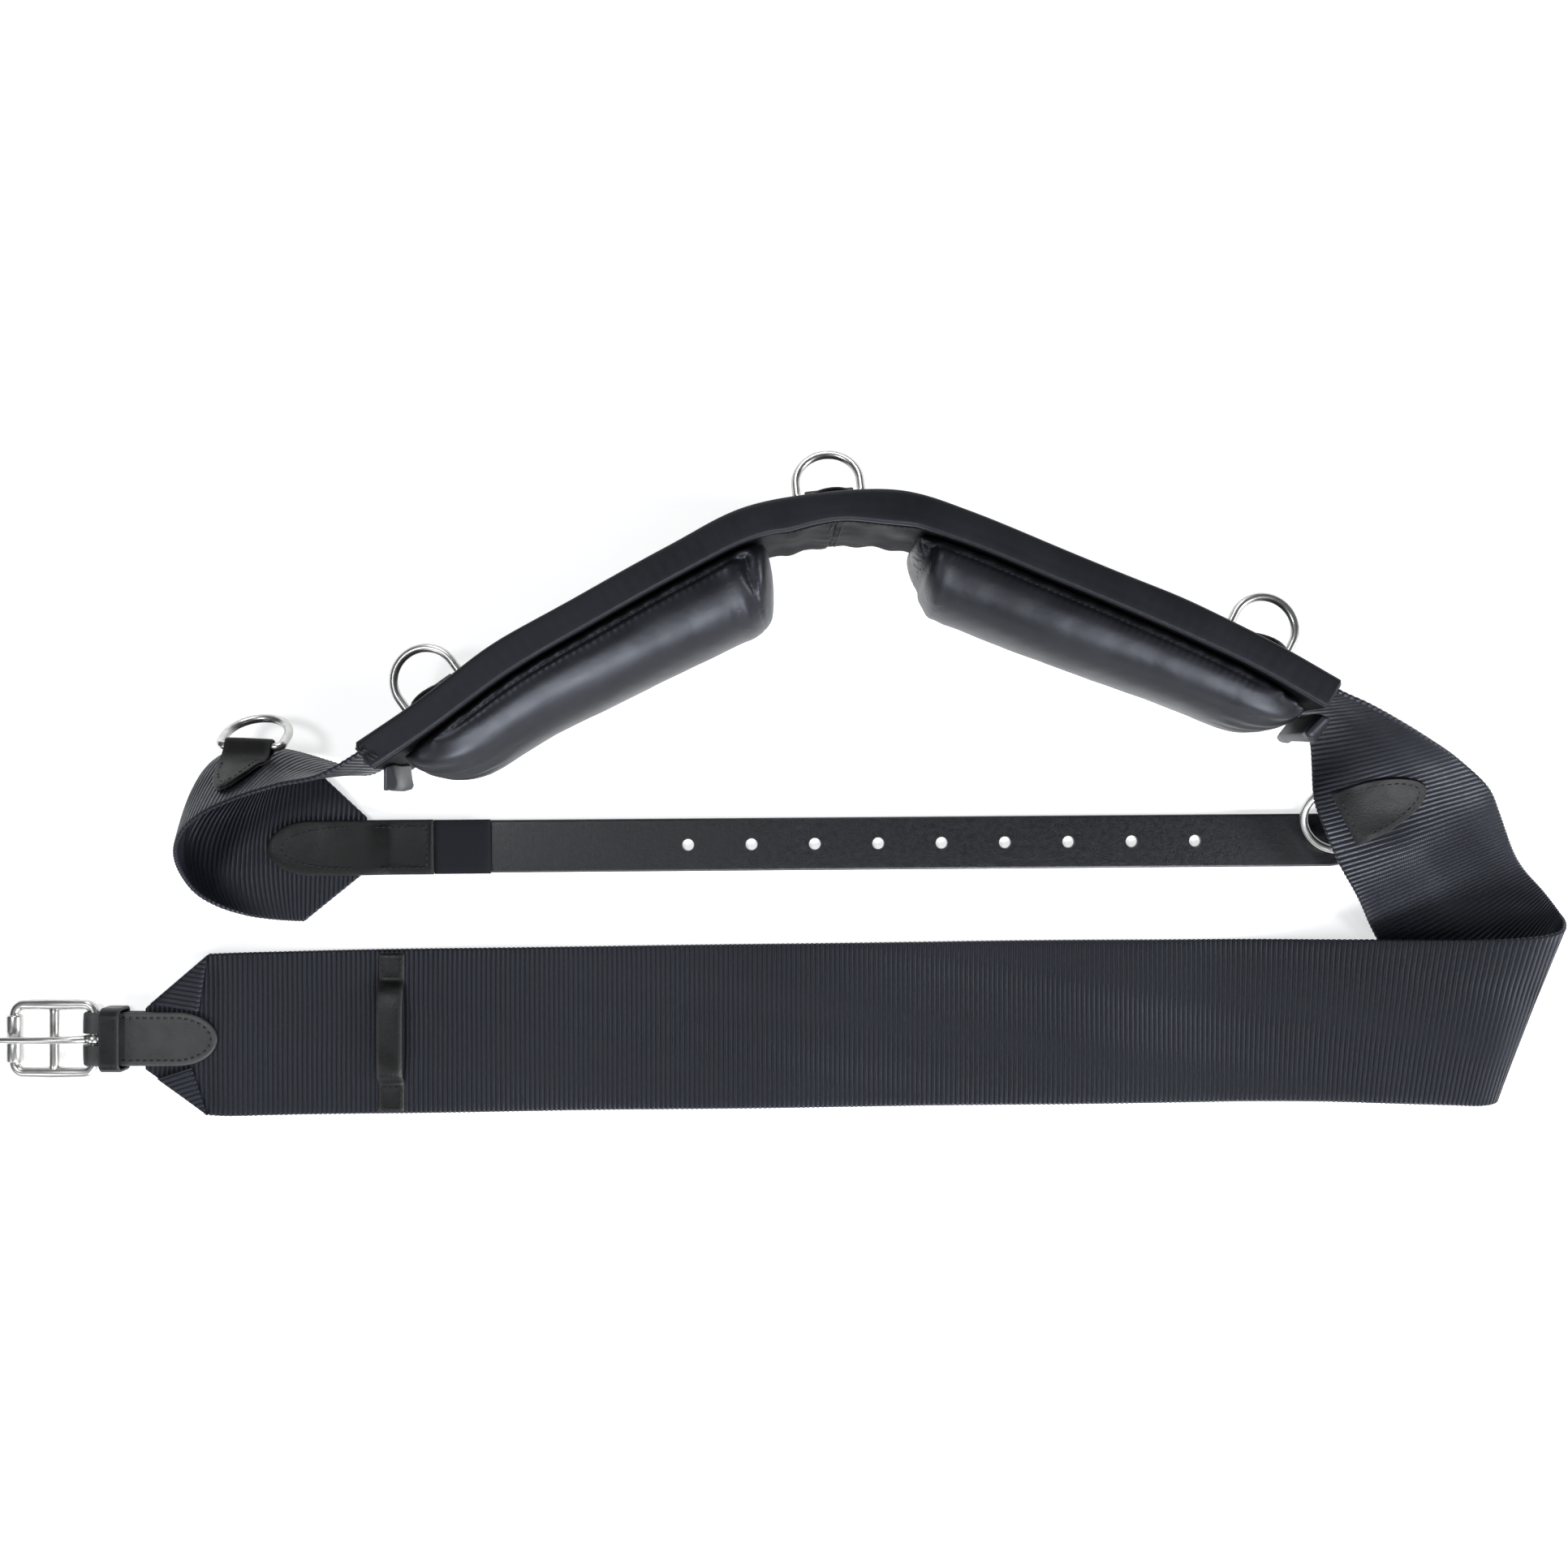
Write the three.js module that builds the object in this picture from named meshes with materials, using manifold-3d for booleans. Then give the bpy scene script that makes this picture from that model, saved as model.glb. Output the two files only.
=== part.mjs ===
// Lungeing surcingle (training roller) of ribbed webbing, laid out on a flat surface.
//
// Units are millimetres and +Z is up. The model is drawn in a plan frame, with the surface at z = 0, and
// the whole group is then moved so that its origin is the middle of its footprint on that surface.
//
// The padded saddle section stands on its edge along a curve in plan. Its coordinates are (s, n, z):
// s along the curve from the left end, n outward from the middle of the backing, and z up.
// The webbing is skinned over rails: its top edge, its middle line and its floor edge.

import * as THREE from 'three';
import Module from 'manifold-3d';
import { mergeVertices } from 'three/addons/utils/BufferGeometryUtils.js';

const wasm = await Module();
wasm.setup();

// Driving dimensions
const GAP = 0.3;
const WEB_THICKNESS = 2.8;
const WEB_FLAT_Z = WEB_THICKNESS / 2;
const WEB_TOP_Z = 102;
const WEB_FLOOR_Z = 2;
const LEATHER = 3;

const COVER_HEIGHT = 104;
const COVER_THICKNESS = 1.5;
const BACKING_OUT = 6;
const BACKING_IN = 11;
const SLOT_HALF = 2.3;
const SLOT_DEPTH = 50;
const LINING_SEAM_X = 27;

const PAD_SKIN = 1.2;
const PAD_CLEARANCE = 0.8;
const PAD_LOW_Z = 3;
const PAD_HIGH_Z = 99;
const PAD_SQUARENESS = 2.3;

const RING_WIRE = 2.5;
const RING_HALF_WIDTH = 18.5;
const RING_CORNER = 3.5;
const RING_LEG = 10;
const TAB_BORE = 3;
const TAB_LEATHER = 1.8;
const TAB_WIDTH = 28;
const TAB_LENGTH = 41;
const PATCH_THICKNESS = 1.8;

const BUCKLE_X = -411.5;
const BUCKLE_Y = -151.8;
const BUCKLE_WIRE = 3;
const BUCKLE_LENGTH = 47.5;
const BUCKLE_WIDTH = 40.5;
const CHAPE_WIDTH = 32;
const CHAPE_LOW_Z = 2.6;
const CHAPE_TIP_X = -337;

const BILLET_WIDTH = 31.75;
const BILLET_THICKNESS = 3.6;
const BILLET_LEFT = [-288, -37.2];
const BILLET_RIGHT = [348, -33.3];
const BILLET_HOLES = 9;
const BILLET_HOLE_RADIUS = 3.4;
const BILLET_FIRST_HOLE_X = -57.5;
const BILLET_HOLE_PITCH = 38;

// Finishes
const webbing = () => new THREE.MeshStandardMaterial({ color: 0x1b1c25, roughness: 0.85 });
const coverVinyl = () => new THREE.MeshStandardMaterial({ color: 0x2a2b2e, roughness: 0.45 });
const leather = () => new THREE.MeshStandardMaterial({ color: 0x1d1d1e, roughness: 0.6 });
const foam = () => new THREE.MeshStandardMaterial({ color: 0x8a8a86, roughness: 0.95 });
const nickel = () => new THREE.MeshStandardMaterial({ color: 0xc9cacb, roughness: 0.2, metalness: 1 });

const v3 = (x, y, z) => new THREE.Vector3(x, y, z);
const part = new THREE.Group();
const model = new THREE.Group();
part.add(model);

function addPiece(name, geometry, material) {
  geometry.computeVertexNormals();
  const mesh = new THREE.Mesh(geometry, material);
  mesh.name = name;
  model.add(mesh);
}

// ---------------------------------------------------------------- solid helpers

// A geometry with only merged positions, with its faces turned outwards.
function closedGeometry(geometry) {
  const bare = geometry.clone();
  bare.deleteAttribute('normal');
  bare.deleteAttribute('uv');
  const merged = mergeVertices(bare, 1e-3);
  const position = merged.attributes.position;
  const index = Array.from(merged.index.array);
  const corner = (i) => new THREE.Vector3().fromBufferAttribute(position, index[i]);
  let volume = 0;
  for (let i = 0; i < index.length; i += 3) {
    volume += corner(i).dot(corner(i + 1).cross(corner(i + 2)));
  }
  if (volume < 0) {
    for (let i = 0; i < index.length; i += 3) {
      [index[i + 1], index[i + 2]] = [index[i + 2], index[i + 1]];
    }
    merged.setIndex(index);
  }
  return merged;
}

function indexedGeometry(points, faces) {
  const geometry = new THREE.BufferGeometry();
  const coordinates = points.flatMap((p) => [p.x, p.y, p.z]);
  geometry.setAttribute('position', new THREE.Float32BufferAttribute(coordinates, 3));
  geometry.setIndex(faces);
  return geometry;
}

function toSolid(geometry) {
  const closed = closedGeometry(geometry);
  const vertProperties = new Float32Array(closed.attributes.position.array);
  const triVerts = new Uint32Array(closed.index.array);
  return new wasm.Manifold(new wasm.Mesh({ numProp: 3, vertProperties, triVerts }));
}

function toGeometry(solid) {
  const mesh = solid.getMesh();
  const geometry = new THREE.BufferGeometry();
  geometry.setAttribute('position', new THREE.Float32BufferAttribute(mesh.vertProperties, 3));
  geometry.setIndex(Array.from(mesh.triVerts));
  return geometry;
}

// Skin a row of outlines that share one point order, and close both ends with the given faces.
function loft(outlines, capFaces) {
  const count = outlines[0].length;
  const lastRow = (outlines.length - 1) * count;
  const faces = [];
  for (let row = 0; row + 1 < outlines.length; row++) {
    for (let i = 0; i < count; i++) {
      const a = row * count + i;
      const b = row * count + (i + 1) % count;
      faces.push(a, b, b + count, a, b + count, a + count);
    }
  }
  for (const [i, j, k] of capFaces) {
    faces.push(i, k, j, lastRow + i, lastRow + j, lastRow + k);
  }
  return closedGeometry(indexedGeometry(outlines.flat(), faces));
}

// Close the space between two grids of points with the same rows and columns, along their borders.
function closeGrids(front, back) {
  const rows = front.length;
  const columns = front[0].length;
  const points = [...front.flat(), ...back.flat()];
  const offset = rows * columns;
  const at = (row, column) => row * columns + column;
  const faces = [];
  const quad = (a, b, c, d) => faces.push(a, b, c, a, c, d);
  for (let r = 0; r + 1 < rows; r++) {
    for (let c = 0; c + 1 < columns; c++) {
      quad(at(r, c), at(r, c + 1), at(r + 1, c + 1), at(r + 1, c));
      quad(offset + at(r, c), offset + at(r + 1, c), offset + at(r + 1, c + 1), offset + at(r, c + 1));
    }
  }
  const border = [];
  for (let c = 0; c + 1 < columns; c++) border.push(at(0, c));
  for (let r = 0; r + 1 < rows; r++) border.push(at(r, columns - 1));
  for (let c = columns - 1; c > 0; c--) border.push(at(rows - 1, c));
  for (let r = rows - 1; r > 0; r--) border.push(at(r, 0));
  border.forEach((a, i) => {
    const b = border[(i + 1) % border.length];
    const apart = [a, b].some((i) => points[i].distanceTo(points[i + offset]) > 1e-3);
    if (apart) {
      quad(a, a + offset, b + offset, b);
    }
  });
  return closedGeometry(indexedGeometry(points, faces));
}

// A flat outline pushed up from z = low to z = high.
function plate(outline, low, high, holes = []) {
  const shape = new THREE.Shape(outline.map(([x, y]) => new THREE.Vector2(x, y)));
  for (const [x, y, radius] of holes) {
    shape.holes.push(new THREE.Path().absarc(x, y, radius, 0, 2 * Math.PI, true));
  }
  const options = { depth: high - low, bevelEnabled: false, curveSegments: 6 };
  const geometry = new THREE.ExtrudeGeometry(shape, options);
  return closedGeometry(geometry.translate(0, 0, low));
}

function box(low, high) {
  const size = low.map((value, i) => high[i] - value);
  const middle = low.map((value, i) => (high[i] + value) / 2);
  return new THREE.BoxGeometry(...size).translate(...middle);
}

// A round wire that follows a closed flat loop.
class FlatLoop extends THREE.Curve {
  constructor(path) {
    super();
    this.path = path;
  }

  getPoint(t) {
    const point = this.path.getPointAt(t % 1);
    return v3(point.x, point.y, 0);
  }
}

function wireLoop(path, radius, steps, sides) {
  return closedGeometry(new THREE.TubeGeometry(new FlatLoop(path), steps, radius, sides, true));
}

// ---------------------------------------------------------------- padded saddle section

const backingLine = new THREE.CatmullRomCurve3([
  v3(-229, 17, 0), v3(-198, 38, 0), v3(-154, 70, 0), v3(-106, 98, 0), v3(-60, 123.5, 0), v3(-20, 143, 0),
  v3(20, 151.5, 0), v3(60, 152.5, 0), v3(98, 142, 0), v3(150, 121, 0), v3(215, 93.5, 0), v3(260, 72.5, 0),
  v3(299, 50.5, 0),
], false, 'centripetal');
backingLine.arcLengthDivisions = 600;
const BACKING_LENGTH = backingLine.getLength();

// Position of (s, n, z), with straight run-outs past both ends.
function onBacking(s, n, z) {
  const inside = THREE.MathUtils.clamp(s / BACKING_LENGTH, 0, 1);
  const tangent = backingLine.getTangentAt(inside);
  const point = backingLine.getPointAt(inside).addScaledVector(tangent, s - inside * BACKING_LENGTH);
  return v3(point.x - tangent.y * n, point.y + tangent.x * n, z);
}

// The distance along the backing at which it crosses x.
function distanceAtX(x) {
  let low = 0;
  let high = 1;
  for (let i = 0; i < 40; i++) {
    const middle = (low + high) / 2;
    if (backingLine.getPointAt(middle).x < x) low = middle;
    else high = middle;
  }
  return low * BACKING_LENGTH;
}

// A constant (n, z) outline swept along the backing from one s to another.
function backingSweep(outline, from, to, steps) {
  const rows = [];
  for (let i = 0; i <= steps; i++) {
    const s = from + (to - from) * i / steps;
    rows.push(outline.map(([n, z]) => onBacking(s, n, z)));
  }
  const corners = outline.map(([n, z]) => new THREE.Vector2(n, z));
  return loft(rows, THREE.ShapeUtils.triangulateShape(corners, []));
}

function strip(nLow, nHigh, zLow, zHigh) {
  return [[nLow, zLow], [nHigh, zLow], [nHigh, zHigh], [nLow, zHigh]];
}

function buildBacking() {
  const wall = BACKING_OUT - COVER_THICKNESS;
  const low = COVER_THICKNESS + GAP;
  const high = COVER_HEIGHT - COVER_THICKNESS - GAP;
  const channel = [
    [-BACKING_IN, 0], [BACKING_OUT, 0], [BACKING_OUT, COVER_HEIGHT], [-BACKING_IN, COVER_HEIGHT],
    [-BACKING_IN, COVER_HEIGHT - COVER_THICKNESS], [wall, COVER_HEIGHT - COVER_THICKNESS],
    [wall, COVER_THICKNESS], [-BACKING_IN, COVER_THICKNESS],
  ];
  addPiece('outer_cover', backingSweep(channel, 0, BACKING_LENGTH, 36), coverVinyl());

  const skin = COVER_THICKNESS + GAP;
  const coreOutline = strip(skin - BACKING_IN, BACKING_OUT - skin, low, high);
  const core = toSolid(backingSweep(coreOutline, 0, BACKING_LENGTH, 36));
  const slot = strip(-SLOT_HALF, SLOT_HALF, 0, COVER_HEIGHT);
  const leftSlot = toSolid(backingSweep(slot, -5, SLOT_DEPTH, 4));
  const rightSlot = toSolid(backingSweep(slot, BACKING_LENGTH - SLOT_DEPTH, BACKING_LENGTH + 5, 4));
  addPiece('core_foam', toGeometry(core.subtract(leftSlot).subtract(rightSlot)), foam());

  const seam = distanceAtX(LINING_SEAM_X);
  const lining = strip(-BACKING_IN, COVER_THICKNESS - BACKING_IN, low, high);
  addPiece('inner_lining_left', backingSweep(lining, 0, seam - GAP / 2, 16), coverVinyl());
  addPiece('inner_lining_right', backingSweep(lining, seam + GAP / 2, BACKING_LENGTH, 16), coverVinyl());
}

// Each bolster pad: where it starts and ends in x along the backing, the plan direction that its bridge
// end faces away from the backing, and its depth at the bridge end, the middle and the lower end.
const PADS = {
  left: { bridgeX: -4, lowerX: -221, bridgeDirection: [-0.1, -1], depths: [43, 39, 36] },
  right: { bridgeX: 77, lowerX: 293, bridgeDirection: [-0.12, -1], depths: [40, 34, 28] },
};
const PAD_BRIDGE_ROUND = 14;
const PAD_LOWER_ROUND = 38;

// Distances from the bridge end and depth factors: a short round end, a long body and a long round end.
function padStations(length, inset) {
  const bridge = PAD_BRIDGE_ROUND - inset;
  const lower = PAD_LOWER_ROUND - inset;
  const stations = [];
  for (let i = 0; i <= 3; i++) {
    const angle = i / 3 * Math.PI / 2;
    stations.push([inset + bridge * (1 - Math.cos(angle)), Math.sin(angle)]);
  }
  for (let i = 1; i < 6; i++) {
    stations.push([PAD_BRIDGE_ROUND + (length - PAD_BRIDGE_ROUND - PAD_LOWER_ROUND) * i / 6, 1]);
  }
  for (let i = 5; i >= 0; i--) {
    const angle = i / 5 * Math.PI / 2;
    stations.push([length - inset - lower * (1 - Math.cos(angle)), Math.sin(angle)]);
  }
  return stations;
}

function padGrid(pad, inset, flatBack) {
  const from = distanceAtX(pad.bridgeX);
  const to = distanceAtX(pad.lowerX);
  const length = Math.abs(to - from);
  const sense = Math.sign(to - from);
  const bridgeDirection = v3(...pad.bridgeDirection, 0).normalize();
  const depthAt = new THREE.CatmullRomCurve3(pad.depths.map((depth, i) => v3(i, depth, 0)));
  const columns = 9;
  return padStations(length, inset).map(([distance, factor]) => {
    const s = from + sense * distance;
    const base = onBacking(s, -BACKING_IN - PAD_CLEARANCE, 0);
    const inward = onBacking(s, -BACKING_IN - PAD_CLEARANCE - 1, 0).sub(base);
    const share = THREE.MathUtils.smoothstep(distance, 0, length * 0.55);
    const direction = bridgeDirection.clone().lerp(inward, share).normalize();
    const depth = (depthAt.getPoint(distance / length).y - inset) * factor;
    const middle = (PAD_HIGH_Z + PAD_LOW_Z) / 2;
    const halfHeight = ((PAD_HIGH_Z - PAD_LOW_Z) / 2 - inset) * (0.72 + 0.28 * factor);
    const row = [];
    for (let c = 0; c <= columns; c++) {
      const angle = c / columns * Math.PI;
      const round = (value) => Math.sign(value) * Math.abs(value) ** (2 / PAD_SQUARENESS);
      const out = flatBack ? 0 : depth * round(Math.sin(angle));
      const point = base.clone().addScaledVector(direction, out);
      point.z = middle + halfHeight * round(Math.cos(angle));
      row.push(point);
    }
    return row;
  });
}

function buildPads() {
  for (const [side, pad] of Object.entries(PADS)) {
    const cover = closeGrids(padGrid(pad, 0, false), padGrid(pad, PAD_SKIN, false));
    const filling = closeGrids(padGrid(pad, PAD_SKIN + GAP, false), padGrid(pad, PAD_SKIN + GAP, true));
    addPiece(`${side}_pad_cover`, cover, coverVinyl());
    addPiece(`${side}_pad_filling`, filling, foam());
  }
}

// The folded end of each pad cover, a flap that stands off the lining at the end of the backing.
function buildPadEndTabs() {
  const flap = (baseS, tipS, halfWidth, reach) => {
    const rows = [0, 0.5, 1].map((share) => {
      const s = baseS + (tipS - baseS) * share;
      return [[-halfWidth, 24], [halfWidth, 24], [halfWidth, 84], [-halfWidth, 84]].map(([along, z]) => (
        onBacking(s + along, -BACKING_IN - PAD_CLEARANCE - reach * share, z)
      ));
    });
    return loft(rows, [[0, 1, 2], [0, 2, 3]]);
  };
  addPiece('left_pad_end_tab', flap(4.5, -0.5, 4, 15), coverVinyl());
  addPiece('right_pad_end_tab', flap(BACKING_LENGTH - 1, BACKING_LENGTH + 4, 5, 16), coverVinyl());
}

// ---------------------------------------------------------------- webbing

// A point of the backing's web, given by its distance from an end, on the top, middle or floor rail.
const WEB_MIDDLE_Z = (WEB_TOP_Z + WEB_FLOOR_Z) / 2;
const tucked = (s) => [WEB_TOP_Z, WEB_MIDDLE_Z, WEB_FLOOR_Z].map((z) => onBacking(s, 0, z));

// A free station of the webbing: its top-edge point, its middle point and its floor-edge point.
const station = (top, middle, floor) => [v3(...top), v3(...middle), v3(...floor)];

// A station with a straight line from edge to edge.
const straight = (top, floor) => station(top, top.map((value, i) => (value + floor[i]) / 2), floor);

const SHORT_WEB = [
  tucked(SLOT_DEPTH - 1), tucked(SLOT_DEPTH / 2), tucked(0),
  station([-252, 4.5, 99.5], [-250, 6, 50], [-250, 6, 2]),
  station([-277, -1, 95.5], [-273, 9, 48], [-271, 12.5, 2]),
  station([-303, -9, 89], [-297, 15, 43], [-292, 18, 2]),
  station([-325, -18.5, 79], [-318, 15, 41], [-313, 19, 2]),
  station([-340, -31, 67], [-335, 6, 40], [-331, 15.5, 2]),
  station([-346, -45, 53], [-346, -14, 30], [-343, 5, 2]),
  station([-342, -61, 37], [-356, -35, 14], [-343, -9, 2]),
  station([-334, -71, 22], [-345, -42, 6], [-330, -9, 3.6]),
  station([-320, -78, 11], [-327, -42, 4.7], [-313, 0, 4.5]),
  station([-303, -81, 6], [-308, -36, 4.7], [-300, 9, 4.7]),
  straight([-287, -82, 4.9], [-286, 14, 4.9]),
];
const SHORT_WEB_TIP = straight([-252, -53.7, 4.9], [-249, -20.5, 4.9]);

const LONG_WEB = [
  tucked(BACKING_LENGTH - SLOT_DEPTH + 1), tucked(BACKING_LENGTH - SLOT_DEPTH / 2), tucked(BACKING_LENGTH),
  straight([317, 43, 98.5], [308, 43, 3]),
  straight([336, 34.5, 91], [313, 28, 12]),
  straight([357, 25, 79], [314, 10, 21]),
  straight([378, 15, 64], [316, -8, 27]),
  straight([398, 0, 50], [322, -27, 28]),
  straight([413, -17, 38], [331, -50, 21]),
  straight([426, -36, 28], [344, -74, 10]),
  straight([440, -52, 18], [360, -100, 2.2]),
  straight([451, -64, 13], [380, -130, 1.6]),
  straight([458, -75, 16], [401, -163, 2.6]),
  straight([458, -81, 25], [416, -183, 9]),
  straight([450, -86, 34], [419, -187, 20]),
  straight([432, -89, 37], [408, -188, 28]),
  straight([405, -90.5, 34], [390, -188, 26]),
  straight([368, -91.5, 24], [358, -188.5, 18]),
  straight([325, -92.5, 12], [320, -189, 9]),
  straight([280, -93, 4], [278, -190, 3]),
  straight([235, -93.5, WEB_FLAT_Z], [235, -191, WEB_FLAT_Z]),
  straight([150, -94, WEB_FLAT_Z], [150, -192, WEB_FLAT_Z]),
  straight([0, -96, WEB_FLAT_Z], [0, -194, WEB_FLAT_Z]),
  straight([-150, -98, WEB_FLAT_Z], [-150, -196, WEB_FLAT_Z]),
  straight([-250, -99.5, WEB_FLAT_Z], [-250, -197.5, WEB_FLAT_Z]),
  straight([-300, -100.5, 3.6], [-300, -198, 3.6]),
  straight([-330, -101, 7.3], [-330, -198, 7.3]),
  straight([-343, -101.5, 7.3], [-343, -197.5, 7.3]),
];
const LONG_WEB_TIP = straight([-381, -134, 7.3], [-381, -170, 7.3]);

// The web's outer normal at a rail point, from the directions along and across it.
function outerNormal(along, across) {
  return across.clone().cross(along).normalize();
}

// Curves through the stations along the top edge, the middle and the floor edge.
function webRails(stations) {
  const railPoints = (rail) => stations.map((station) => station[rail]);
  return [0, 1, 2].map((rail) => new THREE.CatmullRomCurve3(railPoints(rail), false, 'catmullrom'));
}

// The rails sampled between each pair of stations; the tip is a straight taper.
function webRows(stations, tip, perSpan) {
  const rails = webRails(stations);
  const total = (stations.length - 1) * perSpan;
  const rows = [];
  for (let i = 0; i <= total; i++) {
    const points = rails.map((rail) => rail.getPoint(i / total));
    const alongs = rails.map((rail) => rail.getTangent(i / total));
    rows.push({ points, alongs });
  }
  const flatAlong = v3(...rows.at(-1).alongs[1].toArray());
  rows.push({ points: tip, alongs: [flatAlong, flatAlong, flatAlong] });
  return rows;
}

function webSolid(rows) {
  const outlines = rows.map(({ points, alongs }) => {
    const acrosses = [[0, 1], [0, 2], [1, 2]].map(([a, b]) => points[a].clone().sub(points[b]));
    const halfThick = WEB_THICKNESS / 2;
    const normals = acrosses.map((across, i) => outerNormal(alongs[i], across).multiplyScalar(halfThick));
    const outer = points.map((point, i) => point.clone().add(normals[i]));
    const inner = points.map((point, i) => point.clone().sub(normals[i]));
    return [...outer, ...inner.reverse()];
  });
  return loft(outlines, [[0, 1, 5], [1, 4, 5], [1, 2, 4], [2, 3, 4]]);
}

function buildWebbing() {
  addPiece('short_web', webSolid(webRows(SHORT_WEB, SHORT_WEB_TIP, 3)), webbing());
  addPiece('long_web', webSolid(webRows(LONG_WEB, LONG_WEB_TIP, 2)), webbing());
}

// A loop across the bottom run that holds the billet's free end: sewn down at both ends, raised between.
function buildWebKeeper() {
  const x = -235;
  const width = 15.5;
  const top = -101;
  const bottom = -196;
  const low = WEB_THICKNESS + GAP;
  const high = low + 6.2;
  const thickness = 1.8;
  const end = 17;
  const step = end + 5;
  const line = [[top, low], [top - end, low], [top - step, high]];
  line.push([bottom + step, high], [bottom + end, low], [bottom, low]);
  const outline = [...line, ...line.map(([y, z]) => [y, z + thickness]).reverse()];
  const geometry = plate(outline, -width / 2, width / 2);
  geometry.applyMatrix4(new THREE.Matrix4().makeBasis(v3(0, 1, 0), v3(0, 0, 1), v3(1, 0, 0)));
  addPiece('web_keeper', geometry.translate(x, 0, 0), leather());
}

// ---------------------------------------------------------------- rein rings

// A ring's frame: x along the strap, y towards the strap's top edge, z out of its face.
function attachFrame(point, along, up, out) {
  const x = along.clone().normalize();
  const z = out.clone().addScaledVector(x, -out.dot(x)).normalize();
  const y = z.clone().cross(x);
  if (y.dot(up) < 0) {
    x.negate();
    y.negate();
  }
  return new THREE.Matrix4().makeBasis(x, y, z).setPosition(point);
}

function backingFrame(x, z) {
  const s = distanceAtX(x);
  const out = onBacking(s, 1, z).sub(onBacking(s, 0, z));
  const along = v3(out.y, -out.x, 0);
  return attachFrame(onBacking(s, BACKING_OUT, z), along, v3(0, 0, 1), out);
}

// A place on the outer face of a web: along its stations, and across from its top edge (0) to its floor
// edge (1). The side is the sense of the face's outward direction.
function webFace(stations, side) {
  const rails = webRails(stations);
  return (at, across) => {
    const t = at / (stations.length - 1);
    const [a, b] = across < 0.5 ? [rails[0], rails[1]] : [rails[1], rails[2]];
    const share = across < 0.5 ? across * 2 : across * 2 - 1;
    const along = a.getTangent(t).lerp(b.getTangent(t), share);
    const up = a.getPoint(t).sub(b.getPoint(t));
    const out = outerNormal(along, up).multiplyScalar(side);
    const point = a.getPoint(t).lerp(b.getPoint(t), share).addScaledVector(out, WEB_THICKNESS / 2);
    return { point, frame: () => attachFrame(point, along, up, out) };
  };
}

// How far the web's face stands out of the ring's own plane at (x, y) on that plane.
function faceRise(ring, frame, x, y) {
  if (!ring.face) return 0;
  const toPlane = frame.clone().invert();
  const local = (at, across) => ring.face(at, across).point.applyMatrix4(toPlane);
  const step = 0.05;
  const here = local(ring.at, ring.across);
  const perStation = (local(ring.at + step, ring.across).x - here.x) / step;
  const perWidth = (local(ring.at, ring.across - step).y - here.y) / step;
  let at = ring.at;
  let across = ring.across;
  let found = here;
  for (let i = 0; i < 5; i++) {
    at += (x - found.x) / perStation;
    across -= (y - found.y) / perWidth;
    found = local(at, across);
  }
  return found.z;
}

// Half the tab's width at y: straight flanks, then an oval end with a small blunt tip.
const TAB_SHOULDER = 8;
function tabHalfWidth(y) {
  const share = THREE.MathUtils.clamp((y - TAB_SHOULDER) / (TAB_LENGTH - TAB_SHOULDER), 0, 1);
  return Math.max(TAB_WIDTH / 2 * Math.sqrt(1 - share ** 2.2), 2);
}

// A half-oval leather layer between two heights over the face, following the face where follow(y) is 1.
function ovalLayer(ring, frame, start, low, high, follow) {
  const rows = 8;
  const columns = 4;
  const grid = (height) => Array.from({ length: rows + 1 }, (_, r) => {
    const y = start + (TAB_LENGTH - start) * Math.sin(r / rows * Math.PI / 2);
    return Array.from({ length: columns + 1 }, (_, c) => {
      const x = tabHalfWidth(y) * (2 * c / columns - 1);
      return v3(x, y, height + faceRise(ring, frame, x, y) * follow(y));
    });
  });
  return closeGrids(grid(low), grid(high));
}

// The tab: leather folded round the ring's bar, its two layers sewn flat, with a half-oval end.
const BAR_HEIGHT = GAP + TAB_BORE + TAB_LEATHER;
function tabGeometry(ring, frame) {
  const outerRadius = TAB_BORE + TAB_LEATHER;
  const layersTop = GAP + 2 * TAB_LEATHER;
  const lift = ring.lift ?? 0;
  const profile = [];
  for (let i = 0; i <= 8; i++) {
    const angle = Math.PI / 2 + i / 8 * Math.PI;
    profile.push([outerRadius * Math.cos(angle), BAR_HEIGHT + outerRadius * Math.sin(angle)]);
  }
  profile.push([TAB_SHOULDER, GAP], [TAB_SHOULDER, layersTop], [outerRadius + 1.5, layersTop]);
  const folded = plate(profile, -TAB_WIDTH / 2, TAB_WIDTH / 2, [[0, BAR_HEIGHT, TAB_BORE]]);
  folded.applyMatrix4(new THREE.Matrix4().makeBasis(v3(0, 1, 0), v3(0, 0, 1), v3(1, 0, 0)));
  folded.translate(0, 0, lift);
  const follow = (y) => THREE.MathUtils.smoothstep(y, TAB_SHOULDER, TAB_SHOULDER + 14);
  const flat = ovalLayer(ring, frame, TAB_SHOULDER - 1.5, GAP + lift, layersTop + lift, follow);
  return toGeometry(toSolid(folded).add(toSolid(flat)));
}

function ringLoop() {
  const loop = new THREE.Path();
  const half = RING_HALF_WIDTH;
  loop.moveTo(0, 0);
  loop.lineTo(half - RING_CORNER, 0);
  loop.absarc(half - RING_CORNER, -RING_CORNER, RING_CORNER, Math.PI / 2, 0, true);
  loop.lineTo(half, -RING_LEG);
  loop.absarc(0, -RING_LEG, half, 0, -Math.PI, true);
  loop.lineTo(-half, -RING_CORNER);
  loop.absarc(-half + RING_CORNER, -RING_CORNER, RING_CORNER, Math.PI, Math.PI / 2, true);
  loop.lineTo(0, 0);
  return loop;
}

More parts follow.
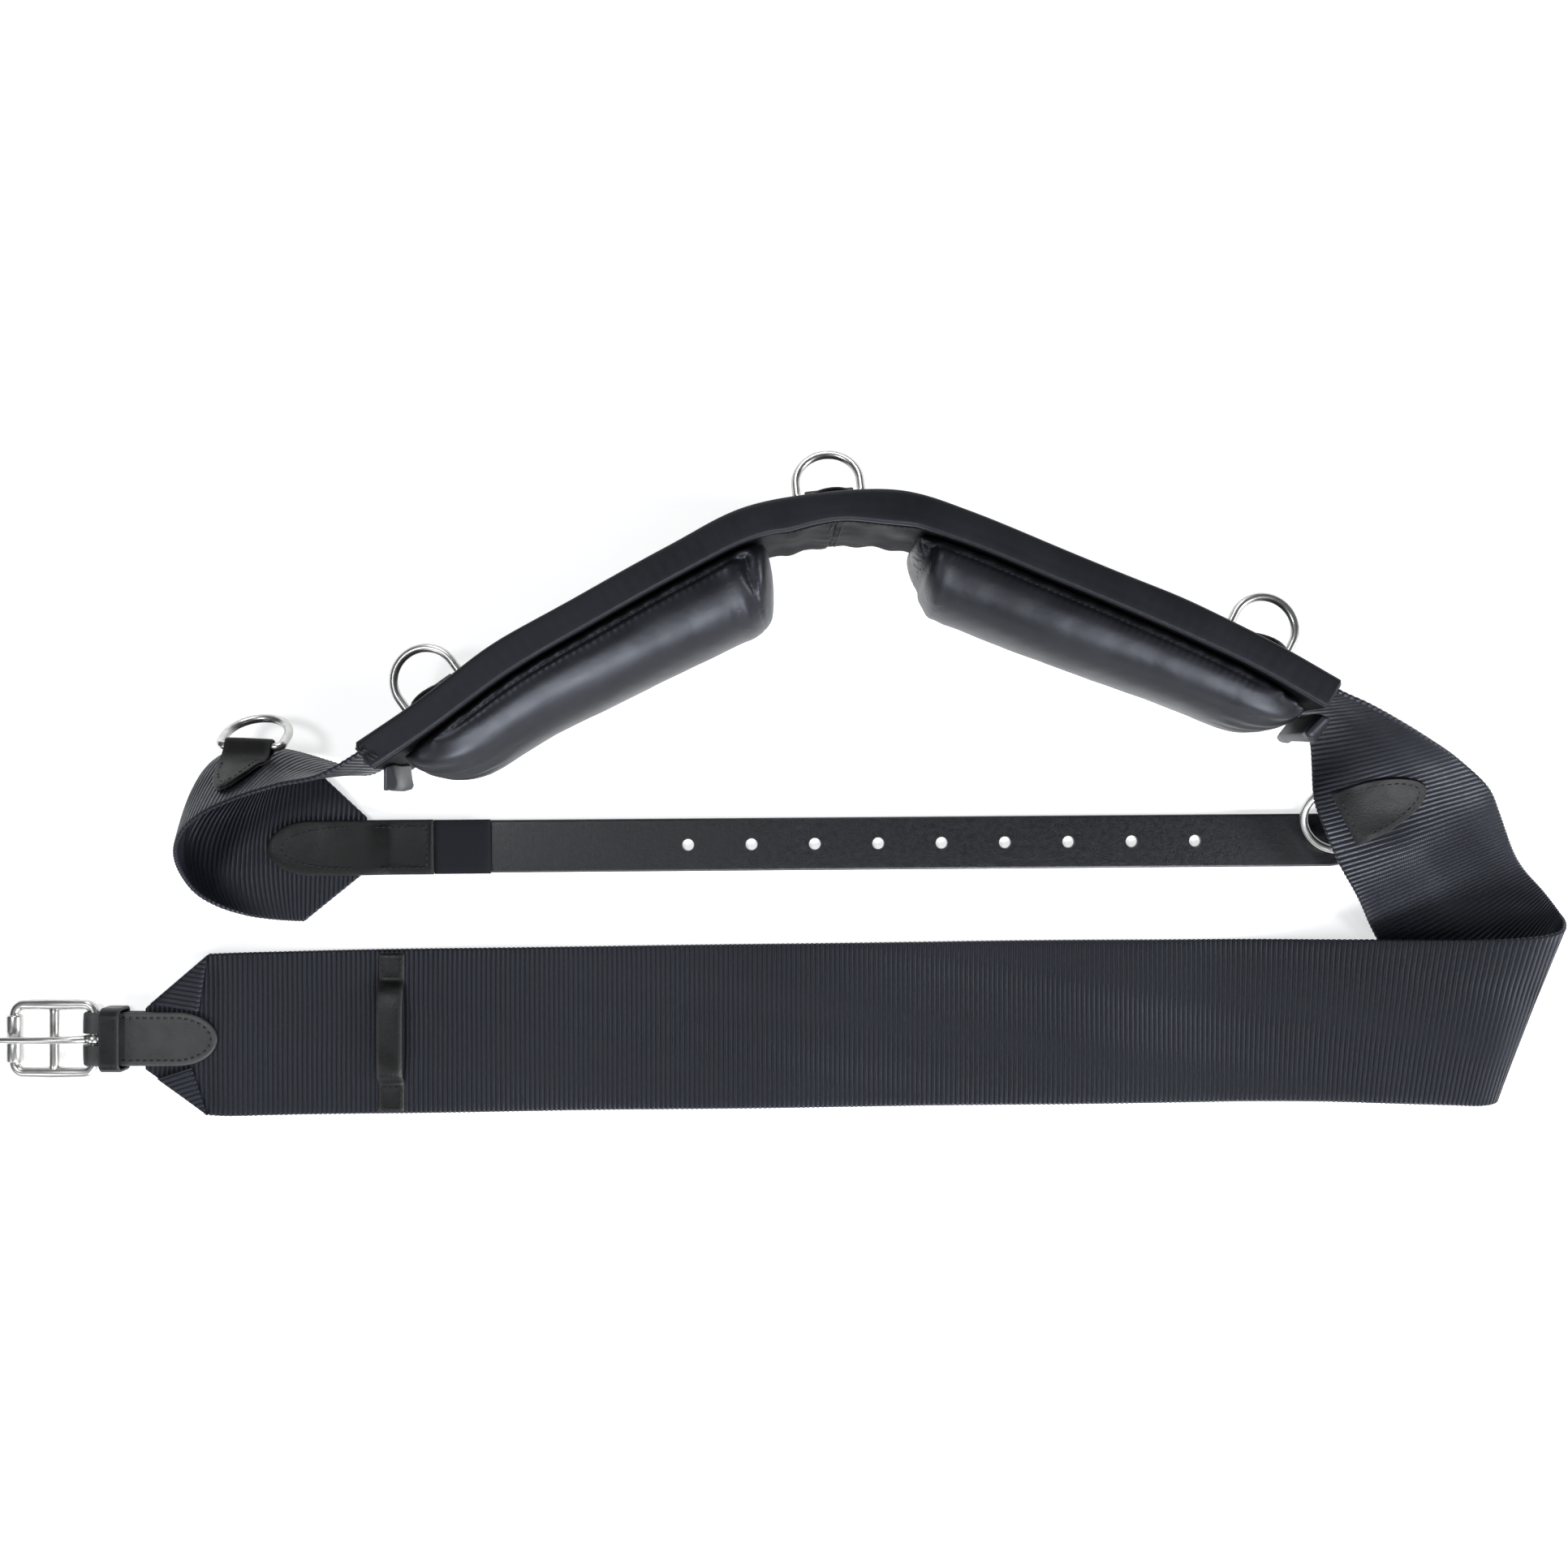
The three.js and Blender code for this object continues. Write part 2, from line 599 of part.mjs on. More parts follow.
// The ring hangs from its bar; open is the angle in degrees between it and the strap's face.
function ringGeometry(open) {
  const geometry = wireLoop(ringLoop(), RING_WIRE, 34, 8);
  geometry.rotateX(-THREE.MathUtils.degToRad(open));
  return geometry.translate(0, 0, BAR_HEIGHT);
}

// Where each ring is, how far it stands open from the strap's face, how far its tab is turned on the
// face, and how far the folded end of a tab on curved webbing is lifted clear of it.
const RINGS = {
  left_pad: { frame: backingFrame(-192, 52), open: 85 },
  centre: { frame: backingFrame(27, 52), open: 68 },
  right_pad: { frame: backingFrame(264, 52), open: 80 },
  left_web: { face: webFace(SHORT_WEB, -1), at: 5.4, across: 0.49, open: 3, turn: 0, lift: 1.2 },
  right_web: { face: webFace(LONG_WEB, 1), at: 6.95, across: 0.85, open: 12, turn: 9, lift: 1.5 },
};

function ringFrame(ring) {
  if (!ring.face) return ring.frame;
  const turned = new THREE.Matrix4().makeRotationZ(THREE.MathUtils.degToRad(ring.turn));
  return ring.face(ring.at, ring.across).frame().multiply(turned);
}

function buildRings() {
  for (const [place, ring] of Object.entries(RINGS)) {
    const frame = ringFrame(ring);
    const wire = ringGeometry(ring.open).translate(0, 0, ring.lift ?? 0);
    addPiece(`d_ring_${place}`, wire.applyMatrix4(frame), nickel());
    addPiece(`d_ring_tab_${place}`, tabGeometry(ring, frame).applyMatrix4(frame), leather());
    if (ring.face) {
      const high = -WEB_THICKNESS - GAP;
      const backing = ovalLayer(ring, frame, 2, high - PATCH_THICKNESS, high, () => 1);
      addPiece(`d_ring_backing_${place}`, backing.applyMatrix4(frame), leather());
    }
  }
}

// ---------------------------------------------------------------- billet

const billetAngle = Math.atan2(BILLET_RIGHT[1] - BILLET_LEFT[1], BILLET_RIGHT[0] - BILLET_LEFT[0]);
const billetY = (x) => BILLET_LEFT[1] + (x - BILLET_LEFT[0]) * Math.tan(billetAngle);

// Points along a strap that is pointed or oval at either end, in plan about its own middle line.
function strapOutline(from, to, halfWidth, leftTip, rightTip) {
  const outline = [];
  for (let i = 0; i <= 10; i++) {
    const angle = -Math.PI / 2 + i / 10 * Math.PI;
    outline.push([to - rightTip + rightTip * Math.cos(angle), halfWidth * Math.sin(angle)]);
  }
  for (let i = 0; i <= 10; i++) {
    const angle = Math.PI / 2 + i / 10 * Math.PI;
    outline.push([from + leftTip + leftTip * Math.cos(angle), halfWidth * Math.sin(angle)]);
  }
  return outline;
}

const placeOnBillet = (geometry) => geometry.rotateZ(billetAngle).translate(0, billetY(0), 0);

function buildBillet() {
  const half = BILLET_WIDTH / 2;
  const holes = [];
  for (let i = 0; i < BILLET_HOLES; i++) {
    holes.push([BILLET_FIRST_HOLE_X + i * BILLET_HOLE_PITCH, 0, BILLET_HOLE_RADIUS]);
  }
  const outline = strapOutline(BILLET_LEFT[0], BILLET_RIGHT[0], half, 12, 22);
  const strap = plate(outline, 0, BILLET_THICKNESS - 0.4, holes);
  addPiece('billet_strap', placeOnBillet(strap), leather());
}

// The oval patch lies on the strap's end and on the web under it, and steps down past the web's tip.
function buildBilletPatch() {
  const half = BILLET_WIDTH / 2;
  const low = 6.6;
  const stepDown = 3.5;
  const thickness = 2.6;
  const line = [[-309, low], [-246, low], [-236, stepDown], [-209.5, stepDown]];
  const profile = [...line, ...line.map(([x, z]) => [x, z + thickness]).reverse()];
  const layer = plate(profile, -half - 2, half + 2);
  layer.applyMatrix4(new THREE.Matrix4().makeBasis(v3(1, 0, 0), v3(0, 0, 1), v3(0, -1, 0)));
  const outline = plate(strapOutline(-308, -208, half + 0.6, 26, 0.01), -1, 20);
  const patch = toGeometry(toSolid(layer).intersect(toSolid(outline)));
  addPiece('billet_patch', placeOnBillet(patch), leather());

  const band = box([-209.2, -half - 0.3, stepDown], [-175.5, half + 0.3, stepDown + 1.9]);
  addPiece('billet_splice_band', placeOnBillet(closedGeometry(band)), leather());
}

// ---------------------------------------------------------------- buckle end

const BAR_RUNNING_RADIUS = BUCKLE_WIRE + GAP;
const BUCKLE_Z = CHAPE_LOW_Z + LEATHER + BAR_RUNNING_RADIUS - 1.6;

// The chape: one leather strip folded round the buckle's bar, slotted for the tongue, tip over the web.
function buildChape() {
  const inner = BAR_RUNNING_RADIUS;
  const outer = inner + LEATHER;
  const layerLow = [CHAPE_LOW_Z, CHAPE_LOW_Z + LEATHER];
  const secondLow = CHAPE_LOW_Z + LEATHER + WEB_THICKNESS + 2 * GAP;
  const layerHigh = [secondLow, secondLow + LEATHER];
  const leave = BUCKLE_X + 6.5;
  const profile = [];
  profile.push([CHAPE_TIP_X, layerLow[0]], [CHAPE_TIP_X, layerLow[1]], [leave, layerLow[1]]);
  for (let i = 0; i <= 10; i++) {
    const angle = -Math.PI / 2 - i / 10 * Math.PI;
    profile.push([BUCKLE_X + inner * Math.cos(angle), BUCKLE_Z + inner * Math.sin(angle)]);
  }
  profile.push([leave, layerHigh[0]], [CHAPE_TIP_X, layerHigh[0]]);
  profile.push([CHAPE_TIP_X, layerHigh[1]], [leave, layerHigh[1]]);
  for (let i = 10; i >= 0; i--) {
    const angle = -Math.PI / 2 - i / 10 * Math.PI;
    profile.push([BUCKLE_X + outer * Math.cos(angle), BUCKLE_Z + outer * Math.sin(angle)]);
  }
  profile.push([leave, layerLow[0]]);
  const folded = plate(profile, -CHAPE_WIDTH / 2, CHAPE_WIDTH / 2);
  folded.applyMatrix4(new THREE.Matrix4().makeBasis(v3(1, 0, 0), v3(0, 0, 1), v3(0, -1, 0)));
  const outline = plate(strapOutline(BUCKLE_X - 10, CHAPE_TIP_X, CHAPE_WIDTH / 2 - 0.01, 0.01, 24), -5, 30);
  const slot = box([BUCKLE_X - 12, -3.6, -5], [BUCKLE_X + 9, 3.6, 30]);
  const chape = toSolid(folded).intersect(toSolid(outline)).subtract(toSolid(slot));
  addPiece('buckle_chape', toGeometry(chape).translate(0, BUCKLE_Y, 0), leather());
}

// A leather loop that slides along the chape behind the buckle.
function buildBuckleKeeper() {
  const width = 12;
  const x = BUCKLE_X + 13;
  const thickness = 2;
  const low = GAP;
  const high = CHAPE_LOW_Z + 2 * LEATHER + WEB_THICKNESS + 2 * GAP + 5.6;
  const half = CHAPE_WIDTH / 2 + 1.2;
  const outerHalf = half + thickness;
  const frame = toSolid(box([-width / 2, -outerHalf, low], [width / 2, outerHalf, high + thickness]));
  const opening = toSolid(box([-width, -half, low + thickness], [width, half, high]));
  addPiece('buckle_keeper', toGeometry(frame.subtract(opening)).translate(x, BUCKLE_Y, 0), leather());
}

function bar(radius, length, sides) {
  return new THREE.CylinderGeometry(radius, radius, length, sides);
}

// A double-bar frame with rounded corners; the roller turns on the bar furthest from the chape.
function buildBuckle() {
  const half = BUCKLE_WIDTH / 2;
  const corner = 5;
  const far = -BUCKLE_LENGTH;
  const loop = new THREE.Path();
  loop.moveTo(0, 0);
  loop.lineTo(0, half - corner);
  loop.absarc(-corner, half - corner, corner, 0, Math.PI / 2, false);
  loop.lineTo(far + corner, half);
  loop.absarc(far + corner, half - corner, corner, Math.PI / 2, Math.PI, false);
  loop.lineTo(far, -half + corner);
  loop.absarc(far + corner, -half + corner, corner, Math.PI, Math.PI * 1.5, false);
  loop.lineTo(-corner, -half);
  loop.absarc(-corner, -half + corner, corner, Math.PI * 1.5, Math.PI * 2, false);
  loop.lineTo(0, 0);
  const rim = toSolid(wireLoop(loop, BUCKLE_WIRE, 44, 8));
  const centre = toSolid(bar(BUCKLE_WIRE - 0.1, BUCKLE_WIDTH, 8).translate(far / 2, 0, 0));
  const frame = toGeometry(rim.add(centre));
  addPiece('buckle_frame', frame.translate(BUCKLE_X, BUCKLE_Y, BUCKLE_Z), nickel());

  const rollerInner = BUCKLE_WIRE + GAP;
  const rollerOuter = 4.9;
  const rollerHalf = 14;
  const ring = [[rollerInner, -rollerHalf], [rollerOuter, -rollerHalf]];
  ring.push([rollerOuter, rollerHalf], [rollerInner, rollerHalf]);
  const profile = [...ring, ring[0]].map(([r, h]) => new THREE.Vector2(r, h));
  const roller = closedGeometry(new THREE.LatheGeometry(profile, 16));
  addPiece('buckle_roller', roller.translate(BUCKLE_X + far, BUCKLE_Y, BUCKLE_Z), nickel());

  addPiece('buckle_tongue', tongueGeometry(rollerOuter).translate(BUCKLE_X, BUCKLE_Y, BUCKLE_Z), nickel());
}

// The tongue: an eye round the chape's bar and a round pin that rests on the roller.
function tongueGeometry(rollerOuter) {
  const radius = 2.3;
  const eyeInner = BUCKLE_WIRE + GAP;
  const eyeOuter = eyeInner + 2.2;
  const eyeHalf = 2.3;
  const ring = [[eyeInner, -eyeHalf], [eyeOuter, -eyeHalf], [eyeOuter, eyeHalf], [eyeInner, eyeHalf]];
  const profile = [...ring, ring[0]].map(([r, h]) => new THREE.Vector2(r, h));
  const eye = closedGeometry(new THREE.LatheGeometry(profile, 16));
  const rest = rollerOuter + radius + GAP;
  const line = new THREE.CatmullRomCurve3([
    v3(-1.5, 0, eyeInner + radius - 0.6),
    v3(-BUCKLE_LENGTH / 2, 0, rest + 0.6),
    v3(-BUCKLE_LENGTH, 0, rest + 0.3),
    v3(-BUCKLE_LENGTH - 14.5, 0, rest - 1.6),
  ]);
  const section = new THREE.Shape().absarc(0, 0, radius, 0, 2 * Math.PI, false);
  const options = { steps: 14, extrudePath: line, curveSegments: 4, bevelEnabled: false };
  const pin = new THREE.ExtrudeGeometry(section, options);
  const bore = toSolid(bar(eyeInner, 4 * eyeHalf, 16));
  return toGeometry(toSolid(eye).add(toSolid(pin).subtract(bore)));
}

// ---------------------------------------------------------------- assembly

buildBacking();
buildPads();
buildPadEndTabs();
buildWebbing();
buildWebKeeper();
buildRings();
buildBillet();
buildBilletPatch();
buildChape();
buildBuckleKeeper();
buildBuckle();

// Bring the middle of the footprint to the origin, with the lowest point on the surface.
const bounds = new THREE.Box3().setFromObject(model);
const middle = bounds.getCenter(new THREE.Vector3());
model.position.set(-middle.x, -middle.y, -bounds.min.z);

export default part;
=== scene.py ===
"""The looks of a padded webbing surcingle, laid out on a floor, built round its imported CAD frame.

Shapes are worked out in the plan that the CAD uses, in millimetres, and placed in the frame in metres.
"""

import math
from dataclasses import dataclass

import bmesh
import bpy
import numpy as np
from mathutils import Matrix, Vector
from mathutils.bvhtree import BVHTree


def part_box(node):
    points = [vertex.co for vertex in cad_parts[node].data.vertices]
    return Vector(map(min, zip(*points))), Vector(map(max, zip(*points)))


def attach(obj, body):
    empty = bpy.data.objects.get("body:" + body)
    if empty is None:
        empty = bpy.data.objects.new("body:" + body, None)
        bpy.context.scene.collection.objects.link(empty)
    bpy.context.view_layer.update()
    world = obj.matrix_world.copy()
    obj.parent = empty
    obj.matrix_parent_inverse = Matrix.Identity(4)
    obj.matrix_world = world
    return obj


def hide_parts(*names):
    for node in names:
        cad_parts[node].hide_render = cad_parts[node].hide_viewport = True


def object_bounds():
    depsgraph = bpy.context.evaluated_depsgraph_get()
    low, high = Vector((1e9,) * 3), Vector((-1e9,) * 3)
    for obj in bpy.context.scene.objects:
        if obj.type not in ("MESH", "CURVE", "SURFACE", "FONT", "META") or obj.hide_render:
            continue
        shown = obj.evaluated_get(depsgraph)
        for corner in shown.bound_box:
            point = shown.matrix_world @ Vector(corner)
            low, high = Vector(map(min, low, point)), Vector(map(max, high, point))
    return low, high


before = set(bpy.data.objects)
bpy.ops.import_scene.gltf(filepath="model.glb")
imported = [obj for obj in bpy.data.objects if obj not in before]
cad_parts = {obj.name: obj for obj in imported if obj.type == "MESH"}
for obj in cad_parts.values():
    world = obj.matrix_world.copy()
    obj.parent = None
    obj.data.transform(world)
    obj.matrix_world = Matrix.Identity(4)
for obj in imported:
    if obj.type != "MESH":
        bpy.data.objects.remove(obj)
CAD_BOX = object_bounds()

# ------------------------------------------------------------------ driving dimensions, mm

WEB_WIDTH = 100
WEB_THICKNESS = 2.2
RIB_PITCH = 2.9
RIB_HEIGHT = 0.5
RIB_STEPS = 7
WEB_TOP_Z = 102
WEB_FLOOR_Z = 2
WEB_FLAT_Z = 1.4
WEB_TIP_Z = 7.3
WEB_SPILL = 6.5
WEB_RIDGE = 6.5
WEB_HOLLOW = 6.0
RAIL_STEPS = 60

BACKING_OUT = 6
BACKING_IN = 11
BACKING_MIDDLE_Z = 52
SLOT_DEPTH = 50
LINING_SEAM_X = 27

RING_WIRE = 2.5
RING_HALF_WIDTH = 18.5
RING_CORNER = 3.5
RING_LEG = 10
BAR_HEIGHT = 5.1
TAB_LENGTH = 41
TAB_HALF_WIDTH = 14
TAB_LEATHER = 1.8

BUCKLE_X, BUCKLE_Y, BUCKLE_Z = -411.5, -151.8, 7.3
BUCKLE_LENGTH = 47.5
BUCKLE_WIDTH = 40.5
BUCKLE_WIRE = 3
BUCKLE_CORNER = 6.0
CHAPE_TIP_X = -337
CHAPE_HALF_WIDTH = 16

BILLET_LEFT = (-288, -38.3)
BILLET_RIGHT = (348, -33.3)
BILLET_HALF_WIDTH = 15.875
BILLET_THICKNESS = 3.2
BILLET_HOLES = 9
BILLET_HOLE_RADIUS = 3.4
BILLET_FIRST_HOLE_X = -57.5
BILLET_HOLE_PITCH = 38
BILLET_SPLICE_X = (-209.2, -175.5)

WEB_KEEPER_X = -235
WEB_KEEPER_HALF_WIDTH = 7.75

STITCH_LENGTH = 2.6
STITCH_GAP = 1.1
STITCH_SINK = 0.12
STITCH_SPOTS = np.array([0, 0.14, 0.4, 0.6, 0.86, 1])
STITCH_LIFTS = np.array([-0.9, 0.35, 0.62, 0.62, 0.35, -0.9])
STITCH_SIZES = np.array([0.55, 0.9, 1, 1, 0.9, 0.55])
STITCH_SIDES = 6

CURVE_STEPS = 8

# The plan's origin in the frame, found from where the CAD put the buckle.
buckle_low, buckle_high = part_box("buckle_frame")
buckle_plan = Vector((BUCKLE_X - BUCKLE_LENGTH / 2, BUCKLE_Y, BUCKLE_Z))
ORIGIN = np.array((buckle_low + buckle_high) / 2 * 1000 - buckle_plan)


def to_frame(points):
    """Plan millimetres to frame metres."""
    return (np.asarray(points, float) + ORIGIN) / 1000


def to_plan(point):
    """Frame metres to plan millimetres."""
    return np.asarray(point, float) * 1000 - ORIGIN


# ------------------------------------------------------------------ curves


def unit(vectors):
    vectors = np.asarray(vectors, float)
    return vectors / np.linalg.norm(vectors, axis=-1, keepdims=True)


def smoothstep(value, low, high):
    share = np.clip((value - low) / (high - low), 0, 1)
    return share * share * (3 - 2 * share)


def between(value, rise, risen, fall, fallen):
    """1 between risen and fall, 0 before rise and after fallen."""
    return smoothstep(value, rise, risen) * (1 - smoothstep(value, fall, fallen))


def bump(value, centre, width):
    """A smooth hump of height 1."""
    return np.exp(-(((value - centre) / width) ** 2))


def catmull_rom(knots, per_span, centripetal=False):
    """Points on the Catmull-Rom curve through the knots."""
    knots = np.asarray(knots, float)
    before = 2 * knots[0] - knots[1]
    after = 2 * knots[-1] - knots[-2]
    padded = np.vstack([before, knots, after])
    t = (np.arange(per_span) / per_span)[:, None]
    points = []
    for a, b, c, d in zip(padded, padded[1:], padded[2:], padded[3:]):
        if centripetal:
            ab, bc, cd = (math.sqrt(np.linalg.norm(v)) for v in (b - a, c - b, d - c))
            leave = ((b - a) / ab - (c - a) / (ab + bc) + (c - b) / bc) * bc
            arrive = ((c - b) / bc - (d - b) / (bc + cd) + (d - c) / cd) * bc
        else:
            leave = (c - a) / 2
            arrive = (d - b) / 2
        points.append(
            (2 * t**3 - 3 * t**2 + 1) * b
            + (t**3 - 2 * t**2 + t) * leave
            + (3 * t**2 - 2 * t**3) * c
            + (t**3 - t**2) * arrive
        )
    return np.vstack([*points, knots[-1:]])


def lengths_along(points):
    steps = np.linalg.norm(np.diff(points, axis=0), axis=1)
    return np.concatenate([[0], np.cumsum(steps)])


def along_path(points, distances):
    """The points at those distances along a polyline."""
    total = lengths_along(points)
    return np.stack([np.interp(distances, total, points[:, i]) for i in range(points.shape[1])], axis=1)


def rounded_path(points):
    """A smooth open curve through a few points."""
    return catmull_rom(points, CURVE_STEPS, centripetal=True)


def arc(x, y, radius, first, last, count):
    """Points on a circle round (x, y) between two angles in degrees, without the first."""
    angle = np.radians(np.linspace(first, last, count)[1:])
    return np.stack([x + radius * np.cos(angle), y + radius * np.sin(angle)], axis=1)


def run(first, last, count):
    """Points on a straight line, without the first."""
    return np.linspace(first, last, count)[1:]


# ------------------------------------------------------------------ meshes


def add_object(name, data):
    made = bpy.data.objects.new(name, data)
    bpy.context.scene.collection.objects.link(made)
    return made


def make_mesh(name, points, faces, uv=None, edge=None):
    """A mesh object from plan points, with an optional uv and an optional edge-wear value per point."""
    mesh = bpy.data.meshes.new(name)
    mesh.from_pydata(to_frame(points).tolist(), [], faces)
    mesh.update()
    if uv is not None:
        layer = mesh.uv_layers.new(name="cloth")
        corner = np.zeros(len(mesh.loops), np.int32)
        mesh.loops.foreach_get("vertex_index", corner)
        layer.data.foreach_set("uv", np.asarray(uv, np.float32)[corner].ravel())
    if edge is not None:
        wear = mesh.attributes.new("edge", "FLOAT", "POINT")
        wear.data.foreach_set("value", np.asarray(edge, np.float32).ravel())
    outward(mesh)
    mesh.shade_smooth()
    return add_object(name, mesh)


def outward(mesh):
    """Turns the faces of each closed mesh outwards."""
    work = bmesh.new()
    work.from_mesh(mesh)
    if work.calc_volume(signed=True) < 0:
        bmesh.ops.reverse_faces(work, faces=work.faces)
        work.to_mesh(mesh)
    work.free()


def ring_faces(rows, count, start=0, looped=False):
    """Quads between rings of points, and flat caps unless the last ring joins the first."""
    faces = []
    for r in range(rows if looped else rows - 1):
        here = start + r * count
        there = start + (r + 1) % rows * count
        for c in range(count):
            n = (c + 1) % count
            faces.append((here + c, here + n, there + n, there + c))
    if not looped:
        faces.append(tuple(start + c for c in reversed(range(count))))
        faces.append(tuple(start + (rows - 1) * count + c for c in range(count)))
    return faces


def ring_mesh(name, rings, uv=None, edge=None, looped=False):
    """A tube through rings of points, an array of (rings, points, 3)."""
    rings = np.asarray(rings, float)
    rows, count = rings.shape[:2]
    flat_uv = None if uv is None else np.asarray(uv).reshape(-1, 2)
    flat_edge = None if edge is None else np.asarray(edge).reshape(-1)
    faces = ring_faces(rows, count, looped=looped)
    return make_mesh(name, rings.reshape(-1, 3), faces, flat_uv, flat_edge)


def circles(path, tangent, normal, radii, sides):
    """Rings of points round a path."""
    side = unit(np.cross(tangent, normal))
    up = np.cross(side, tangent)
    angle = (np.arange(sides) / sides * 2 * math.pi)[None, :, None]
    around = np.cos(angle) * side[:, None] + np.sin(angle) * up[:, None]
    return path[:, None] + radii[:, None, None] * around


def wire(name, path, radius, sides, looped=True, flat_normal=(0, 0, 1)):
    """A round wire along a path; flat_normal is the normal of the plane that it lies in."""
    path = np.asarray(path, float)
    if looped:
        tangent = unit(np.roll(path, -1, axis=0) - np.roll(path, 1, axis=0))
    else:
        tangent = unit(np.gradient(path, axis=0))
    radii = np.broadcast_to(radius, len(path))
    return ring_mesh(name, circles(path, tangent, flat_normal, radii, sides), looped=looped)


def place(piece, body, slot, material, *nodes):
    """Puts a material on a piece, and makes it ride on a body in place of CAD nodes."""
    piece.data.materials.clear()
    piece.data.materials.append(material)
    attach(piece, body)
    if nodes:
        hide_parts(*nodes)
    return piece


def surface_tree(piece):
    """A tree of a piece's faces, for laying other pieces on them."""
    mesh = piece.data
    points = [v.co.copy() for v in mesh.vertices]
    return BVHTree.FromPolygons(points, [tuple(p.vertices) for p in mesh.polygons])


# ------------------------------------------------------------------ materials


class Nodes:
    """A material's node tree, with short ways to add and join nodes."""

    def __init__(self, name, **sockets):
        self.material = bpy.data.materials.new(name)
        self.material.use_nodes = True
        self.tree = self.material.node_tree
        self.shader = self.tree.nodes["Principled BSDF"]
        for socket, value in sockets.items():
            self.shader.inputs[socket.replace("_", " ")].default_value = value

    def add(self, kind, inputs=None, **settings):
        node = self.tree.nodes.new("ShaderNode" + kind)
        for key, value in settings.items():
            setattr(node, key, value)
        for key, value in (inputs or {}).items():
            self.feed(node.inputs[key], value)
        return node

    def feed(self, socket, value):
        """Joins another node's output to a socket, or sets the socket's own value."""
        if isinstance(value, bpy.types.NodeSocket):
            self.tree.links.new(value, socket)
        else:
            socket.default_value = value

    def math(self, operation, first, second=0.0):
        return self.add("Math", {0: first, 1: second}, operation=operation).outputs[0]

    def noise(self, where, scale, detail=3.0, roughness=0.5):
        wanted = {"Vector": where, "Scale": scale, "Detail": detail, "Roughness": roughness}
        return self.add("TexNoise", wanted).outputs["Fac"]

    def ramp(self, value, low, high, out_low, out_high):
        wanted = {"Value": value, "From Min": low, "From Max": high, "To Min": out_low, "To Max": out_high}
        return self.add("MapRange", wanted).outputs["Result"]

    def mix_colour(self, share, first, second):
        node = self.add("Mix", data_type="RGBA")
        for socket, value in (("Factor_Float", share), ("A_Color", first), ("B_Color", second)):
            self.feed(next(s for s in node.inputs if s.identifier == socket), value)
        return next(s for s in node.outputs if s.identifier == "Result_Color")

    def tinted(self, value, low, high, first, second, most=1):
        """The first colour where a value is low, and at most that share of the second where it is high."""
        return self.mix_colour(self.ramp(value, low, high, 0, most), first, second)

    def object_place(self):
        return self.add("TexCoord").outputs["Object"]

    def colour(self, value):
        self.feed(self.shader.inputs["Base Color"], value)

    def roughness(self, value):
        self.feed(self.shader.inputs["Roughness"], value)

    def bump(self, height, distance, strength=1.0, under=None):
        """Bump of a height from 0 to 1, whose full height is distance in metres."""
        wanted = {"Height": height, "Distance": distance, "Strength": strength}
        if under is not None:
            wanted["Normal"] = under
        normal = self.add("Bump", wanted).outputs["Normal"]
        self.feed(self.shader.inputs["Normal"], normal)
        return normal


def grey(level, blue=0.0):
    """A grey of that level, its blue raised by a share of it."""
    return (level, level, level * (1 + blue), 1)


COOL_TINT = (0.84, 0.88, 1.0, 1)
CUT_EDGE_ROUGHNESS = 0.55
NICKEL_ROUGHNESS = 0.31
LENGTHWISE_THREAD_PITCH = 0.0012


def webbing_material():
    """Ribbed polypropylene webbing: cross ribs, fine lengthwise threads between them, and lint; the grooves
    between the ribs are darkened with painted shade.
    """
    nodes = Nodes("webbing_weave", Sheen_Weight=0.03, Sheen_Roughness=0.4, Specular_IOR_Level=0.5)
    nodes.shader.inputs["Sheen Tint"].default_value = (0.55, 0.62, 0.85, 1)
    nodes.shader.inputs["Specular Tint"].default_value = COOL_TINT
    uv = nodes.add("UVMap", uv_map="cloth").outputs["UV"]
    parts = nodes.add("SeparateXYZ", {0: uv})
    along, across = parts.outputs[0], parts.outputs[1]
    ribs = nodes.math("MULTIPLY", along, 1000 / RIB_PITCH)
    rib_share = nodes.math("ABSOLUTE", nodes.math("SINE", nodes.math("MULTIPLY", ribs, math.pi)))
    stagger = nodes.math("MULTIPLY", nodes.math("FLOOR", ribs), math.pi)
    turns = nodes.math("MULTIPLY", across, 2 * math.pi / LENGTHWISE_THREAD_PITCH)
    threads = nodes.math("ADD", turns, stagger)
    thread_wave = nodes.math("SINE", threads)
    lint = nodes.noise(nodes.object_place(), 1400.0, 4.0, 0.7)
    patches = nodes.noise(nodes.object_place(), 22.0, 2.0)
    fibres = nodes.noise(nodes.object_place(), 420.0, 3.0, 0.6)
    # Painted shade: the colour goes near black in the grooves between the ribs, where shade falls, and
    # keeps the webbing's own dark blue on the crests.
    groove_shaded_ribs = nodes.tinted(rib_share, 0.3, 0.95, (0.0002, 0.0002, 0.0004, 1), (0.0062, 0.0066, 0.0115, 1))
    # Random worn patches laid over the ribs and their painted groove shade.
    wear_over_groove_shade = nodes.tinted(patches, 0.35, 0.7, groove_shaded_ribs, (0.0045, 0.0058, 0.008, 1))
    mixed = nodes.tinted(patches, 0.35, 0.7, groove_shaded_ribs, wear_over_groove_shade, 0.35)
    nodes.colour(nodes.tinted(fibres, 0.55, 0.8, mixed, (0.013, 0.014, 0.019, 1), 0.35))
    crest = nodes.ramp(fibres, 0.3, 0.7, 0.31, 0.45)
    nodes.roughness(nodes.math("ADD", crest, nodes.ramp(rib_share, 0.3, 0.95, 0.5, 0)))
    first = nodes.bump(nodes.ramp(thread_wave, -1, 1, 0, 1), 0.0001, 0.35)
    nodes.bump(lint, 0.00008, 0.6, first)
    return nodes.material


